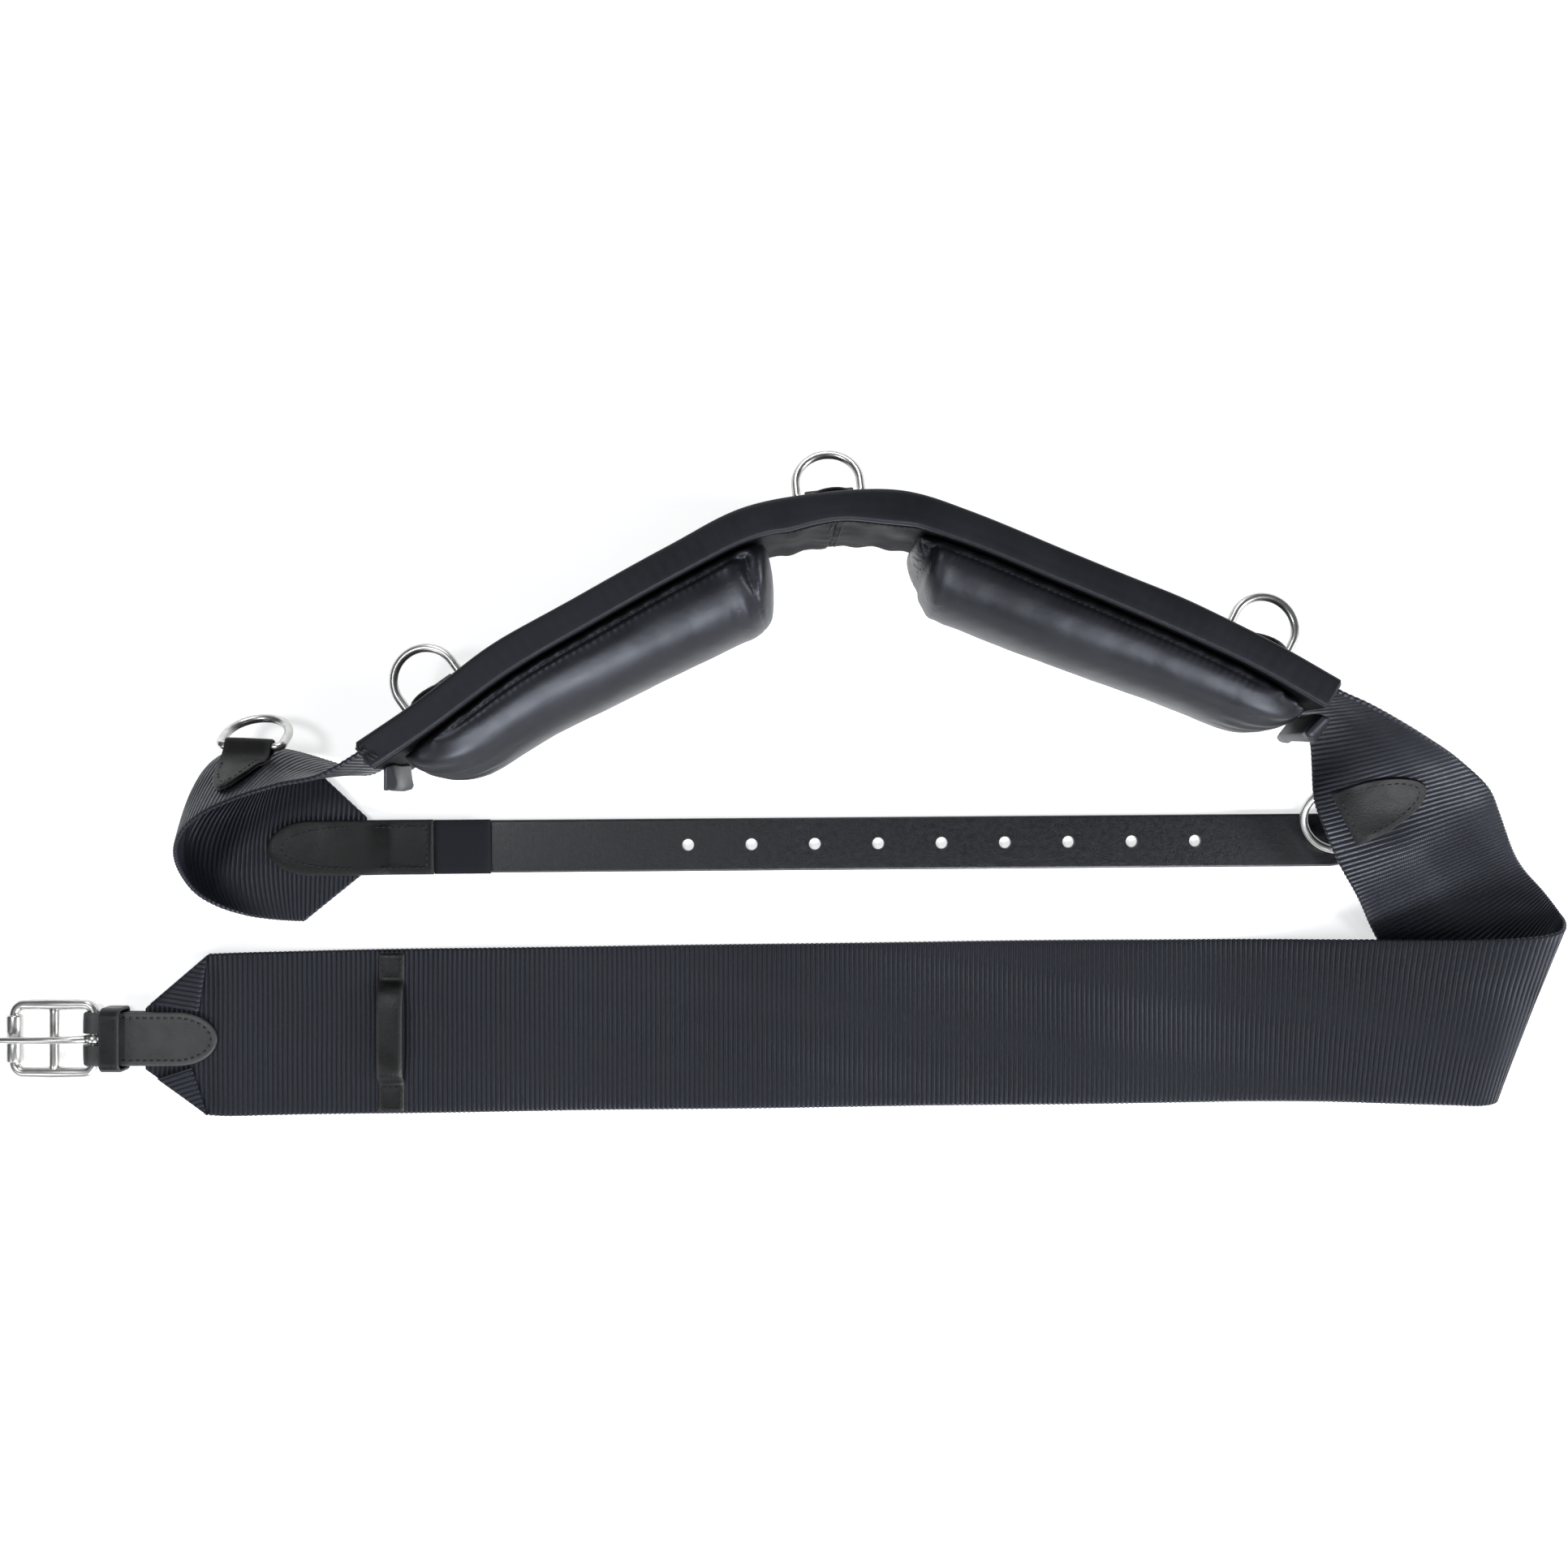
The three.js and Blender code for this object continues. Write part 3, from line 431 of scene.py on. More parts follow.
def vinyl_material(name, level, rough, sheen=0.12, grain=0.6, gloss=0.5):
    """Soft upholstery vinyl: a pebble grain, cloudy gloss and faint scuffs."""
    nodes = Nodes(name, Sheen_Weight=sheen, Sheen_Roughness=0.5, Specular_IOR_Level=gloss)
    nodes.shader.inputs["Specular Tint"].default_value = COOL_TINT
    where = nodes.object_place()
    clouds = nodes.noise(where, 34.0, 3.0)
    scuffs = nodes.noise(where, 160.0, 5.0, 0.7)
    pebbles = {"Vector": where, "Scale": 1500.0}
    cells = nodes.add("TexVoronoi", pebbles, feature="DISTANCE_TO_EDGE").outputs[0]
    base = nodes.tinted(clouds, 0.3, 0.7, grey(level * 0.8, 0.25), grey(level * 1.2, 0.35))
    nodes.colour(nodes.tinted(scuffs, 0.62, 0.85, base, grey(level * 2.2, 0.08), 0.4))
    nodes.roughness(nodes.ramp(clouds, 0.3, 0.7, rough - 0.05, rough + 0.07))
    first = nodes.bump(nodes.ramp(cells, 0, 0.25, 0, 1), 0.00006, grain)
    nodes.bump(nodes.noise(where, 90.0, 4.0), 0.0005, 0.35, first)
    return nodes.material


def leather_material(name, level, rough, edge_level, gloss=0.45):
    """Finished leather: pores, creases, and cut edges that are lighter where they are rubbed."""
    nodes = Nodes(name, Specular_IOR_Level=gloss)
    where = nodes.object_place()
    pores = nodes.add("TexVoronoi", {"Vector": where, "Scale": 1100.0}, feature="F1").outputs[0]
    creases = nodes.noise(where, 520.0, 6.0, 0.62)
    clouds = nodes.noise(where, 55.0, 3.0)
    wear = nodes.add("Attribute", attribute_name="edge").outputs["Fac"]
    rubbed = nodes.math("MULTIPLY", wear, nodes.ramp(creases, 0.3, 0.7, 0.45, 1.0))
    base = nodes.tinted(clouds, 0.3, 0.7, grey(level * 0.78), grey(level * 1.22, 0.04))
    nodes.colour(nodes.mix_colour(rubbed, base, grey(edge_level, 0.02)))
    plain = nodes.ramp(clouds, 0.3, 0.7, rough - 0.06, rough + 0.06)
    nodes.roughness(nodes.math("ADD", plain, nodes.math("MULTIPLY", wear, CUT_EDGE_ROUGHNESS - rough)))
    first = nodes.bump(nodes.ramp(pores, 0, 0.7, 0, 1), 0.00007, 0.7)
    nodes.bump(creases, 0.00022, 0.55, first)
    return nodes.material


def coated_strap_material():
    """The punched strap: coated, with a glittering fine grain."""
    nodes = Nodes("coated_strap", Specular_IOR_Level=0.5, Coat_Weight=0.25, Coat_Roughness=0.22)
    where = nodes.object_place()
    grain = nodes.noise(where, 900.0, 5.0, 0.65)
    coarse = nodes.noise(where, 300.0, 3.0)
    wear = nodes.add("Attribute", attribute_name="edge").outputs["Fac"]
    base = nodes.tinted(grain, 0.35, 0.75, (0.0045, 0.0045, 0.006, 1), (0.012, 0.0135, 0.018, 1))
    nodes.colour(nodes.mix_colour(wear, base, grey(0.03, 0.04)))
    nodes.roughness(nodes.ramp(coarse, 0.3, 0.7, 0.3, 0.46))
    first = nodes.bump(grain, 0.0003, 0.8)
    nodes.bump(coarse, 0.0004, 0.5, first)
    return nodes.material


def nickel_material():
    """Bright nickel plate with a little haze and hairline scratches."""
    nodes = Nodes("bright_nickel", Metallic=1.0)
    where = nodes.object_place()
    haze = nodes.noise(where, 140.0, 4.0, 0.6)
    stretched = nodes.add("Mapping", {"Vector": where, "Scale": (40, 900, 900)}).outputs[0]
    scratches = nodes.noise(stretched, 3.0, 3.0, 0.6)
    nodes.colour(nodes.tinted(haze, 0.35, 0.7, (0.64, 0.635, 0.62, 1), (0.52, 0.515, 0.5, 1)))
    nodes.roughness(nodes.ramp(haze, 0.3, 0.75, NICKEL_ROUGHNESS - 0.06, NICKEL_ROUGHNESS + 0.1))
    nodes.bump(scratches, 0.00004, 0.4)
    return nodes.material


def thread_material():
    """Bonded sewing thread with its twist."""
    nodes = Nodes("sewing_thread", Sheen_Weight=0.06, Specular_IOR_Level=0.4)
    where = nodes.object_place()
    twist = nodes.add("TexWave", {"Vector": where, "Scale": 700.0, "Distortion": 1.5}).outputs["Fac"]
    nodes.colour(nodes.mix_colour(twist, (0.003, 0.003, 0.0035, 1), (0.009, 0.009, 0.0105, 1)))
    nodes.roughness(nodes.ramp(twist, 0, 1, 0.45, 0.65))
    nodes.bump(twist, 0.0001, 0.6)
    return nodes.material


def floor_material():
    """A plain pale floor."""
    nodes = Nodes("pale_floor", Specular_IOR_Level=0.1, Emission_Strength=0.55)
    nodes.shader.inputs["Emission Color"].default_value = (1, 1, 1, 1)
    cloud = nodes.noise(nodes.object_place(), 3.0)
    nodes.colour(nodes.tinted(cloud, 0.3, 0.7, grey(0.9), grey(0.92)))
    nodes.roughness(nodes.ramp(cloud, 0.3, 0.7, 0.7, 0.8))
    return nodes.material


WEBBING = webbing_material()
COVER_VINYL = vinyl_material("cover_vinyl_grain", 0.0055, 0.5, sheen=0.03, grain=0.4, gloss=0.3)
LINING_VINYL = vinyl_material("lining_vinyl_grain", 0.0025, 0.55, sheen=0.0, grain=0.15, gloss=0.06)
PAD_VINYL = vinyl_material("pad_vinyl_grain", 0.0055, 0.4, sheen=0.02, grain=0.12, gloss=0.42)
TAB_LEATHER_LOOK = leather_material("tab_leather", 0.005, 0.5, 0.03, gloss=0.25)
BUCKLE_LEATHER_LOOK = leather_material("buckle_end_leather", 0.031, 0.42, 0.06)
SPLICE_LOOK = vinyl_material("splice_tape", 0.006, 0.72, sheen=0.03, gloss=0.3)
PATCH_LOOK = leather_material("patch_leather", 0.004, 0.45, 0.03, gloss=0.25)
KEEPER_LOOK = leather_material("keeper_leather", 0.0085, 0.4, 0.05, gloss=0.3)
COATED_STRAP = coated_strap_material()
NICKEL = nickel_material()
THREAD = thread_material()

# ------------------------------------------------------------------ stitching


class Stitches:
    """Rows of stitches gathered into one piece."""

    def __init__(self, radius=0.38, length=STITCH_LENGTH, gap=STITCH_GAP):
        self.radius = radius
        self.length = length
        self.gap = gap
        self.points = []
        self.faces = []

    def row(self, path, normals):
        """One stitch after another along a path that lies on a surface."""
        path = np.asarray(path, float)
        total = lengths_along(path)
        pitch = self.length + self.gap
        count = int(total[-1] // pitch)
        first = (total[-1] - count * pitch + self.gap) / 2
        for i in range(count):
            spots = first + i * pitch + STITCH_SPOTS * self.length
            centres = along_path(path, spots)
            ups = unit(along_path_values(normals, total, spots))
            lifts = STITCH_LIFTS * self.radius - STITCH_SINK
            self._stitch(centres + ups * lifts[:, None], ups)

    def _stitch(self, centres, ups):
        tangent = unit(np.gradient(centres, axis=0))
        rings = circles(centres, tangent, ups, STITCH_SIZES * self.radius, STITCH_SIDES)
        start = len(self.points) * len(centres) * STITCH_SIDES
        self.points.append(rings.reshape(-1, 3))
        self.faces.extend(ring_faces(len(centres), STITCH_SIDES, start))

    def piece(self, name, slot="leather"):
        made = make_mesh(name, np.vstack(self.points), self.faces)
        return place(made, "surcingle", slot, THREAD)


def along_path_values(values, total, distances):
    values = np.broadcast_to(np.asarray(values, float), (len(total), 3))
    return np.stack([np.interp(distances, total, values[:, i]) for i in range(3)], axis=1)


# ------------------------------------------------------------------ the backing's line

BACKING_KNOTS = [
    (-229, 17, 0),
    (-198, 38, 0),
    (-154, 70, 0),
    (-106, 98, 0),
    (-60, 123.5, 0),
    (-20, 143, 0),
    (20, 151.5, 0),
    (60, 152.5, 0),
    (98, 142, 0),
    (150, 121, 0),
    (215, 93.5, 0),
    (260, 72.5, 0),
    (299, 50.5, 0),
]
BACKING_LINE = catmull_rom(BACKING_KNOTS, 60, centripetal=True)
BACKING_SPOTS = lengths_along(BACKING_LINE)
BACKING_LENGTH = BACKING_SPOTS[-1]
BACKING_TANGENTS = unit(np.gradient(BACKING_LINE, axis=0))


def on_backing(s, n, z):
    """Points at distance s along the backing, n outwards from its line and height z."""
    s, n, z = np.broadcast_arrays(np.asarray(s, float), n, z)
    inside = np.clip(s, 0, BACKING_LENGTH)
    beyond = s - inside
    tx = np.interp(inside, BACKING_SPOTS, BACKING_TANGENTS[:, 0])
    ty = np.interp(inside, BACKING_SPOTS, BACKING_TANGENTS[:, 1])
    size = np.hypot(tx, ty)
    tx, ty = tx / size, ty / size
    x = np.interp(inside, BACKING_SPOTS, BACKING_LINE[:, 0]) + tx * beyond - ty * n
    y = np.interp(inside, BACKING_SPOTS, BACKING_LINE[:, 1]) + ty * beyond + tx * n
    return np.stack([x, y, z], axis=-1)


def backing_outward(s):
    """The backing's outward direction at distance s."""
    return unit(on_backing(s, 1, 0) - on_backing(s, 0, 0))


def distance_at_x(x):
    return float(np.interp(x, BACKING_LINE[:, 0], BACKING_SPOTS))


LINING_SEAM = distance_at_x(LINING_SEAM_X)
SEAM_SLANT = 1.6

# ------------------------------------------------------------------ webbing


def tucked(s):
    """A station of the web inside the backing: top, middle and floor points."""
    middle = (WEB_TOP_Z + WEB_FLOOR_Z) / 2
    return [tuple(on_backing(s, 0, z)) for z in (WEB_TOP_Z, middle, WEB_FLOOR_Z)]


def straight(top, floor):
    """A station with a straight line from edge to edge."""
    return [top, tuple((a + b) / 2 for a, b in zip(top, floor)), floor]


SHORT_WEB = [
    tucked(SLOT_DEPTH - 1),
    tucked(SLOT_DEPTH / 2),
    tucked(0),
    [(-252, 4.5, 99.5), (-250, 6, 50), (-250, 6, 2)],
    [(-277, -1, 95.5), (-273, 9, 48), (-271, 12.5, 2)],
    [(-303, -9, 89), (-297, 15, 43), (-292, 18, 2)],
    [(-325, -18.5, 79), (-318, 15, 41), (-313, 19, 2)],
    [(-340, -31, 67), (-335, 6, 40), (-331, 15.5, 2)],
    [(-346, -45, 53), (-346, -14, 30), (-343, 5, 2)],
    [(-342, -61, 37), (-356, -35, 14), (-343, -9, 2)],
    [(-334, -71, 22), (-345, -42, 6), (-330, -9, 3.6)],
    [(-320, -78, 11), (-327, -42, 4.7), (-313, 0, 4.5)],
    [(-303, -81, 6), (-308, -36, 4.7), (-300, 9, 4.7)],
    straight((-287, -82, 4.9), (-286, 14, 4.9)),
]
SHORT_WEB_TIP = straight((-252, -53.7, 4.9), (-249, -20.5, 4.9))

LONG_WEB_EDGES = [
    ((317, 43, 98.5), (308, 43, 3)),
    ((336, 34.5, 91), (313, 28, 12)),
    ((357, 25, 79), (314, 10, 21)),
    ((378, 15, 64), (316, -8, 27)),
    ((398, 0, 50), (322, -27, 28)),
    ((413, -17, 38), (331, -50, 21)),
    ((426, -36, 28), (344, -74, 10)),
    ((440, -52, 18), (360, -100, 2.2)),
    ((451, -64, 13), (380, -130, 1.6)),
    ((458, -75, 16), (401, -163, 2.6)),
    ((458, -81, 25), (416, -183, 9)),
    ((450, -86, 34), (419, -187, 20)),
    ((432, -89, 37), (408, -188, 28)),
    ((405, -90.5, 34), (390, -188, 26)),
    ((368, -91.5, 24), (358, -188.5, 18)),
    ((325, -92.5, 12), (320, -189, 9)),
    ((280, -93, 4), (278, -190, 3)),
    ((235, -93.5, WEB_FLAT_Z), (235, -191, WEB_FLAT_Z)),
    ((150, -94, WEB_FLAT_Z), (150, -192, WEB_FLAT_Z)),
    ((0, -96, WEB_FLAT_Z), (0, -194, WEB_FLAT_Z)),
    ((-150, -98, WEB_FLAT_Z), (-150, -196, WEB_FLAT_Z)),
    ((-250, -99.5, WEB_FLAT_Z), (-250, -197.5, WEB_FLAT_Z)),
    ((-300, -100.5, 3.6), (-300, -198, 3.6)),
    ((-330, -101, WEB_TIP_Z), (-330, -198, WEB_TIP_Z)),
    ((-343, -101.5, WEB_TIP_Z), (-343, -197.5, WEB_TIP_Z)),
]
LONG_WEB = [
    tucked(BACKING_LENGTH - SLOT_DEPTH + 1),
    tucked(BACKING_LENGTH - SLOT_DEPTH / 2),
    tucked(BACKING_LENGTH),
    *[straight(top, floor) for top, floor in LONG_WEB_EDGES],
]
LONG_WEB_TIP = straight((-381, -134, WEB_TIP_Z), (-381, -170, WEB_TIP_Z))


def web_rails(stations, tip):
    """Dense top, middle and floor rails, with a straight run to the tip."""
    rails = []
    for rail, last in zip(zip(*stations), tip):
        curve = catmull_rom(rail, RAIL_STEPS)
        share = np.linspace(0, 1, RAIL_STEPS + 1)[1:, None]
        rails.append(np.vstack([curve, curve[-1] * (1 - share) + np.array(last) * share]))
    return np.array(rails)


def eased(name, rails):
    """Gives the long web a ridge and a hollow where it turns, a spilled free edge and a slight wave."""
    if name != "long_web":
        return rails
    rails = rails.copy()
    at = np.arange(rails.shape[1]) / RAIL_STEPS
    for rail, share in ((1, 0.3), (2, 1.0)):
        rails[rail, :, 0] -= share * WEB_SPILL * bump(at, 6.5, 1.8)
    for rail, crest, hollow in ((0, 7.2, 9.7), (1, 8.0, 10.2), (2, 8.8, 10.6)):
        free = smoothstep(rails[rail, :, 2], 2, 14)
        rails[rail, :, 2] += WEB_RIDGE * bump(at, crest, 0.75) * (0.4 + 0.6 * free)
        rails[rail, :, 2] -= WEB_HOLLOW * bump(at, hollow, 0.9) * free
    x = rails[1, :, 0]
    flat = between(at, 19.5, 21, 23.5, 25)
    for rail, phase in ((0, 0.0), (1, 1.1), (2, 2.0)):
        rails[rail, :, 2] += flat * 0.8 * (1 + np.sin(x / 31 + phase))
    return rails


def web_points(rails, distances, across):
    """Points of a web's middle surface: across runs from -1 at the top edge to 1 at the floor edge."""
    total = lengths_along(rails[1])
    top, middle, floor = (
        np.stack([np.interp(distances, total, rail[:, i]) for i in range(3)], axis=1)[:, None]
        for rail in rails
    )
    a = np.asarray(across)[None, :, None]
    return top * a * (a - 1) / 2 + middle * (1 - a * a) + floor * a * (a + 1) / 2


def rib_height(distances, phase=0.0):
    """Rounded ridges with narrow grooves between them."""
    return RIB_HEIGHT * (np.abs(np.sin(np.pi * (distances / RIB_PITCH + phase))) ** 0.7 - 0.55)


def build_web(name, stations, tip):
    """A web with cross ribs, as one closed sheet, with its cloth coordinates in metres along and across."""
    rails = eased(name, web_rails(stations, tip))
    length = lengths_along(rails[1])[-1]
    step = RIB_PITCH / RIB_STEPS
    distances = np.arange(0, length - step / 2, step)
    edge_start = 1 - WEB_THICKNESS / WEB_WIDTH
    rim = edge_start + (1 - edge_start) * np.sin(np.linspace(0, math.pi / 2, 5))
    inner = np.linspace(-edge_start, edge_start, 22)
    across = np.concatenate([-rim[:0:-1], inner, rim[1:]])
    middle = web_points(rails, distances, across)
    along = np.gradient(middle, axis=0)
    sideways = np.gradient(middle, axis=1)
    normal = unit(np.cross(sideways, along))
    roundness = np.sqrt(np.clip(1 - ((np.abs(across) - edge_start) / (1 - edge_start)).clip(0) ** 2, 0, 1))
    down = distances[:, None]
    wander = 0.1 * np.sin(across * 5 + down * 0.021) + 0.05 * np.sin(across * 13 + down * 0.05)
    ribs = rib_height(down, wander)
    half = (WEB_THICKNESS / 2 * roundness)[None] + ribs * np.minimum(roundness, 1)[None]
    half[:, [0, -1]] = 0
    scallop = (ribs + 0.2)[:, [0, -1]]
    edges = unit(sideways[:, [0, -1]]) * (scallop * np.array([-1, 1]))[:, :, None]
    front = middle + normal * half[:, :, None]
    back = middle - normal * half[:, :, None]
    front[:, [0, -1]] += edges
    rings = np.concatenate([front, back[:, -2:0:-1]], axis=1)
    whole = np.concatenate([across, across[-2:0:-1]])
    width = np.linalg.norm(middle[:, -1] - middle[:, 0], axis=1)
    uv = np.stack(
        [
            np.repeat(distances[:, None] / 1000, len(whole), axis=1),
            whole[None] * width[:, None] / 2000,
        ],
        axis=-1,
    )
    made = ring_mesh(f"{name}_ribbed", rings, uv=uv)
    place(made, "surcingle", "webbing", WEBBING, name)
    return made, length


def build_flap(name, corner, tip, out_y, reach):
    """A corner of the long web's end, folded over on top of it along the line from corner to tip."""
    corner, tip = np.array(corner, float), np.array(tip, float)
    fold = unit(tip - corner)
    distances = np.arange(0.4, reach, RIB_PITCH / RIB_STEPS)
    rows = []
    for d in distances:
        x = corner[0] - d
        fold_y = np.interp(x, [tip[0], corner[0]], [tip[1], corner[1]])
        y = fold_y + (out_y - fold_y) * np.linspace(0, 1, 12)
        rows.append(np.stack([np.full(12, x), y], axis=1))
    flat = np.array(rows)
    offset = flat - corner
    mirrored = corner + 2 * (offset @ fold)[..., None] * fold - offset
    ribs = rib_height(distances)[:, None]
    half = WEB_THICKNESS / 2 * np.array([0.3, 0.85] + [1] * 8 + [0.85, 0.3])
    middle_z = WEB_TIP_Z + WEB_THICKNESS + 0.15
    top = np.dstack([mirrored, middle_z + half + ribs * np.ones(12)])
    low = np.dstack([mirrored, np.broadcast_to(middle_z - half, ribs.shape[:1] + (12,))])
    rings = np.concatenate([top, low[:, ::-1]], axis=1)
    spread_uv = np.linspace(0, 1, 12) * abs(out_y - tip[1]) / 1000
    whole = np.concatenate([spread_uv, spread_uv[::-1]])
    lengthwise = np.repeat(distances[:, None] / 1000, 24, axis=1)
    uv = np.stack([lengthwise, np.repeat(whole[None], len(rows), axis=0)], axis=-1)
    made = ring_mesh(name, rings, uv=uv)
    place(made, "surcingle", "webbing", WEBBING)
    return made


def build_webbing():
    made = {}
    for name, stations, tip, rests in (
        ("short_web", SHORT_WEB, SHORT_WEB_TIP, "billet_strap"),
        ("long_web", LONG_WEB, LONG_WEB_TIP, "d_ring_backing_right_web"),
    ):
        piece, length = build_web(name, stations, tip)
        print(name, "cut length", round(length), "mm")
        made[name] = piece
    build_flap("long_web_flap_upper", (-343, -101.5), (-381, -134), -101.5, 34.5)
    build_flap("long_web_flap_lower", (-343, -197.5), (-381, -170), -197.5, 30.5)
    return made


# ------------------------------------------------------------------ straps and seats


class Seat:
    """Where a fitting is sewn on: its own axes, and the surface under it."""

    def __init__(self, point, along, up, out, turn=0.0, lift=0.0, tree=None):
        x = unit(along)
        z = unit(np.asarray(out) - x * np.dot(out, x))
        y = np.cross(z, x)
        if np.dot(y, up) < 0:
            x, y = -x, -y
        angle = math.radians(turn)
        c, s = math.cos(angle), math.sin(angle)
        self.axes = np.array([x * c + y * s, y * c - x * s, z])
        self.point = np.asarray(point, float)
        self.lift = lift
        self.tree = tree

    def turn(self, vectors):
        return np.asarray(vectors, float) @ self.axes

    def rise(self, x, y, below=False):
        """How far the surface stands out of the seat's own plane at (x, y)."""
        if self.tree is None:
            return 0.0
        reach = -25.0 if below else 25.0
        start = self.point + np.array([x, y, reach]) @ self.axes
        way = -self.axes[2] if reach > 0 else self.axes[2]
        spot, _, _, distance = self.tree.ray_cast(Vector(to_frame(start)), Vector(way), 0.05)
        if spot is None:
            return self.rise(x * 0.85, y * 0.85, below) if abs(x) + abs(y) > 1 else 0.0
        return reach - math.copysign(distance * 1000, reach)

    def over(self, points, follow):
        """Local points placed in the plan, following the surface as much as follow(y) says."""
        points = np.asarray(points, float)
        flat = points.reshape(-1, 3).copy()
        for p in flat:
            share = follow(p[1])
            p[2] += self.lift + (share * self.rise(p[0], p[1]) if share else 0)
        return (self.point + flat @ self.axes).reshape(points.shape)


def spread(length, first_round, last_round, step):
    """Distances along a strap, closer together where its ends are rounded."""
    turn = (1 - np.cos(np.linspace(0, math.pi / 2, 10))) if first_round else np.zeros(1)
    back = (1 - np.cos(np.linspace(0, math.pi / 2, 10))) if last_round else np.zeros(1)
    start = turn * first_round
    end = length - (back * last_round)[::-1]
    count = max(2, int((end[0] - start[-1]) / step))
    return np.concatenate([start, np.linspace(start[-1], end[0], count + 1)[1:-1], end])


@dataclass
class Strap:
    """A strap of leather along a path, with rounded edges and, if wanted, oval ends."""

    path: np.ndarray
    side: tuple
    widest: float
    thickness: float
    ends: tuple = (0, 0)
    crown: float = 0.0
    step: float = 2.0
    power: float = 2.0
    blunt: float = 0.8
    looped: bool = False
    edge_thin: float = 0.0
    place_points: object = lambda points: points
    turn: object = lambda vectors: vectors

    def __post_init__(self):
        self.path = np.asarray(self.path, float)
        self.side = unit(self.side)
        self.length = lengths_along(self.path)[-1]
        if self.looped:
            self.rows = np.linspace(0, self.length, int(self.length / self.step), endpoint=False)
        else:
            self.rows = spread(self.length, *self.ends, self.step)

    def half(self, u):
        u = np.asarray(u, float)
        share = np.zeros_like(u)
        if self.ends[0]:
            share = np.maximum(share, 1 - u / self.ends[0])
        if self.ends[1]:
            share = np.maximum(share, 1 - (self.length - u) / self.ends[1])
        return np.maximum(self.widest * np.sqrt(1 - np.clip(share, 0, 1) ** self.power), self.blunt)

    def centre(self, u):
        return along_path(self.path, u)

    def up(self, u):
        reach = 0.4
        if self.looped:
            ahead, behind = np.mod(u + reach, self.length), np.mod(u - reach, self.length)
        else:
            ahead, behind = np.minimum(u + reach, self.length), np.maximum(u - reach, 0)
        along = self.centre(ahead) - self.centre(behind)
        return unit(np.cross(along, self.side))

    def at(self, u, v):
        """Points on the strap's outer face, u along and v across."""
        u, v = np.asarray(u, float), np.asarray(v, float)
        height = self.thickness / 2 + self.crown * (1 - (v / self.half(u)) ** 2)
        points = self.centre(u) + self.side * v[:, None] + self.up(u) * height[:, None]
        return self.place_points(points)

    def around(self, inset, start=0.0):
        """A line inset from the edge that runs down one side, round the far end and back."""
        u = self.rows[self.rows >= start]
        half = self.half(u)
        outline = np.concatenate([np.stack([u, half], axis=1), np.stack([u, -half], axis=1)[::-1]])
        tangent = unit(np.gradient(outline, axis=0))
        inward = np.stack([tangent[:, 1], -tangent[:, 0]], axis=1)
        return outline + inset * inward

    def sew(self, stitches, line):
        u, v = np.asarray(line, float).T
        u = np.clip(u, 0, self.length)
        stitches.row(self.at(u, v), self.turn(self.up(u)))

    def mesh(self, name, border=1.2, columns=9):
        half = self.half(self.rows)[:, None]
        round_off = np.minimum(self.thickness / 2, half)
        angle = np.linspace(0, math.pi / 2, 5)[1:]
        flat = np.linspace(-1, 1, columns)[None] * (half - round_off)
        rim = half - round_off + round_off * np.sin(angle)[None]
        across = np.concatenate([-rim[:, ::-1], flat, rim], axis=1)
        profile = np.concatenate([np.cos(angle)[::-1], np.ones(columns), np.cos(angle)])
        depth = profile[None] * self.thickness / 2
        if not self.looped:
            from_end = np.minimum(self.rows, self.length - self.rows)[:, None]
            share = np.clip(1 - from_end / (self.thickness / 2), 0, 1)
            depth = depth * np.sqrt(np.clip(1 - share**2, 0.08, 1))
        depth = depth * (1 - self.edge_thin * (np.abs(across) / half) ** 6)
        hump = self.crown * (1 - (across / half) ** 2)
        centre = self.centre(self.rows)[:, None]
        up = self.up(self.rows)[:, None]
        upper = centre + self.side * across[..., None] + up * (depth + hump)[..., None]
        lower = centre + self.side * across[..., None] - up * depth[..., None]
        rings = np.concatenate([upper, lower[:, -2:0:-1]], axis=1)
        whole = np.concatenate([across, across[:, -2:0:-1]], axis=1)
        wear = np.clip(1 - (half - np.abs(whole)) / border, 0, 1)
        if not self.looped and (self.ends[0] or self.ends[1]):
            wear = np.maximum(wear, np.clip(1 - from_end / border, 0, 1))
        return ring_mesh(name, self.place_points(rings), edge=wear, looped=self.looped)

    def made(self, name, material, node, body="surcingle", **shape):
        """The strap's mesh, placed on its body in place of a CAD node."""
        return place(self.mesh(name, **shape), body, "leather", material, node)


# ------------------------------------------------------------------ the padded backing


def end_distance(s):
    return np.minimum(s, BACKING_LENGTH - s)


def swell(s):
    """Soft bulges along the cover's outer face, between the places where it is quilted down."""
    bulges = [distance_at_x(x) for x in (-155, -22, 73, 214)]
    return sum(bump(s, b, 26) for b in bulges)


def cover_face(s, z):
    """How far the cover's outer face stands out from the backing's line."""
    return 5.9 + swell(s) * 0.9 * smoothstep(z, 70, 98)


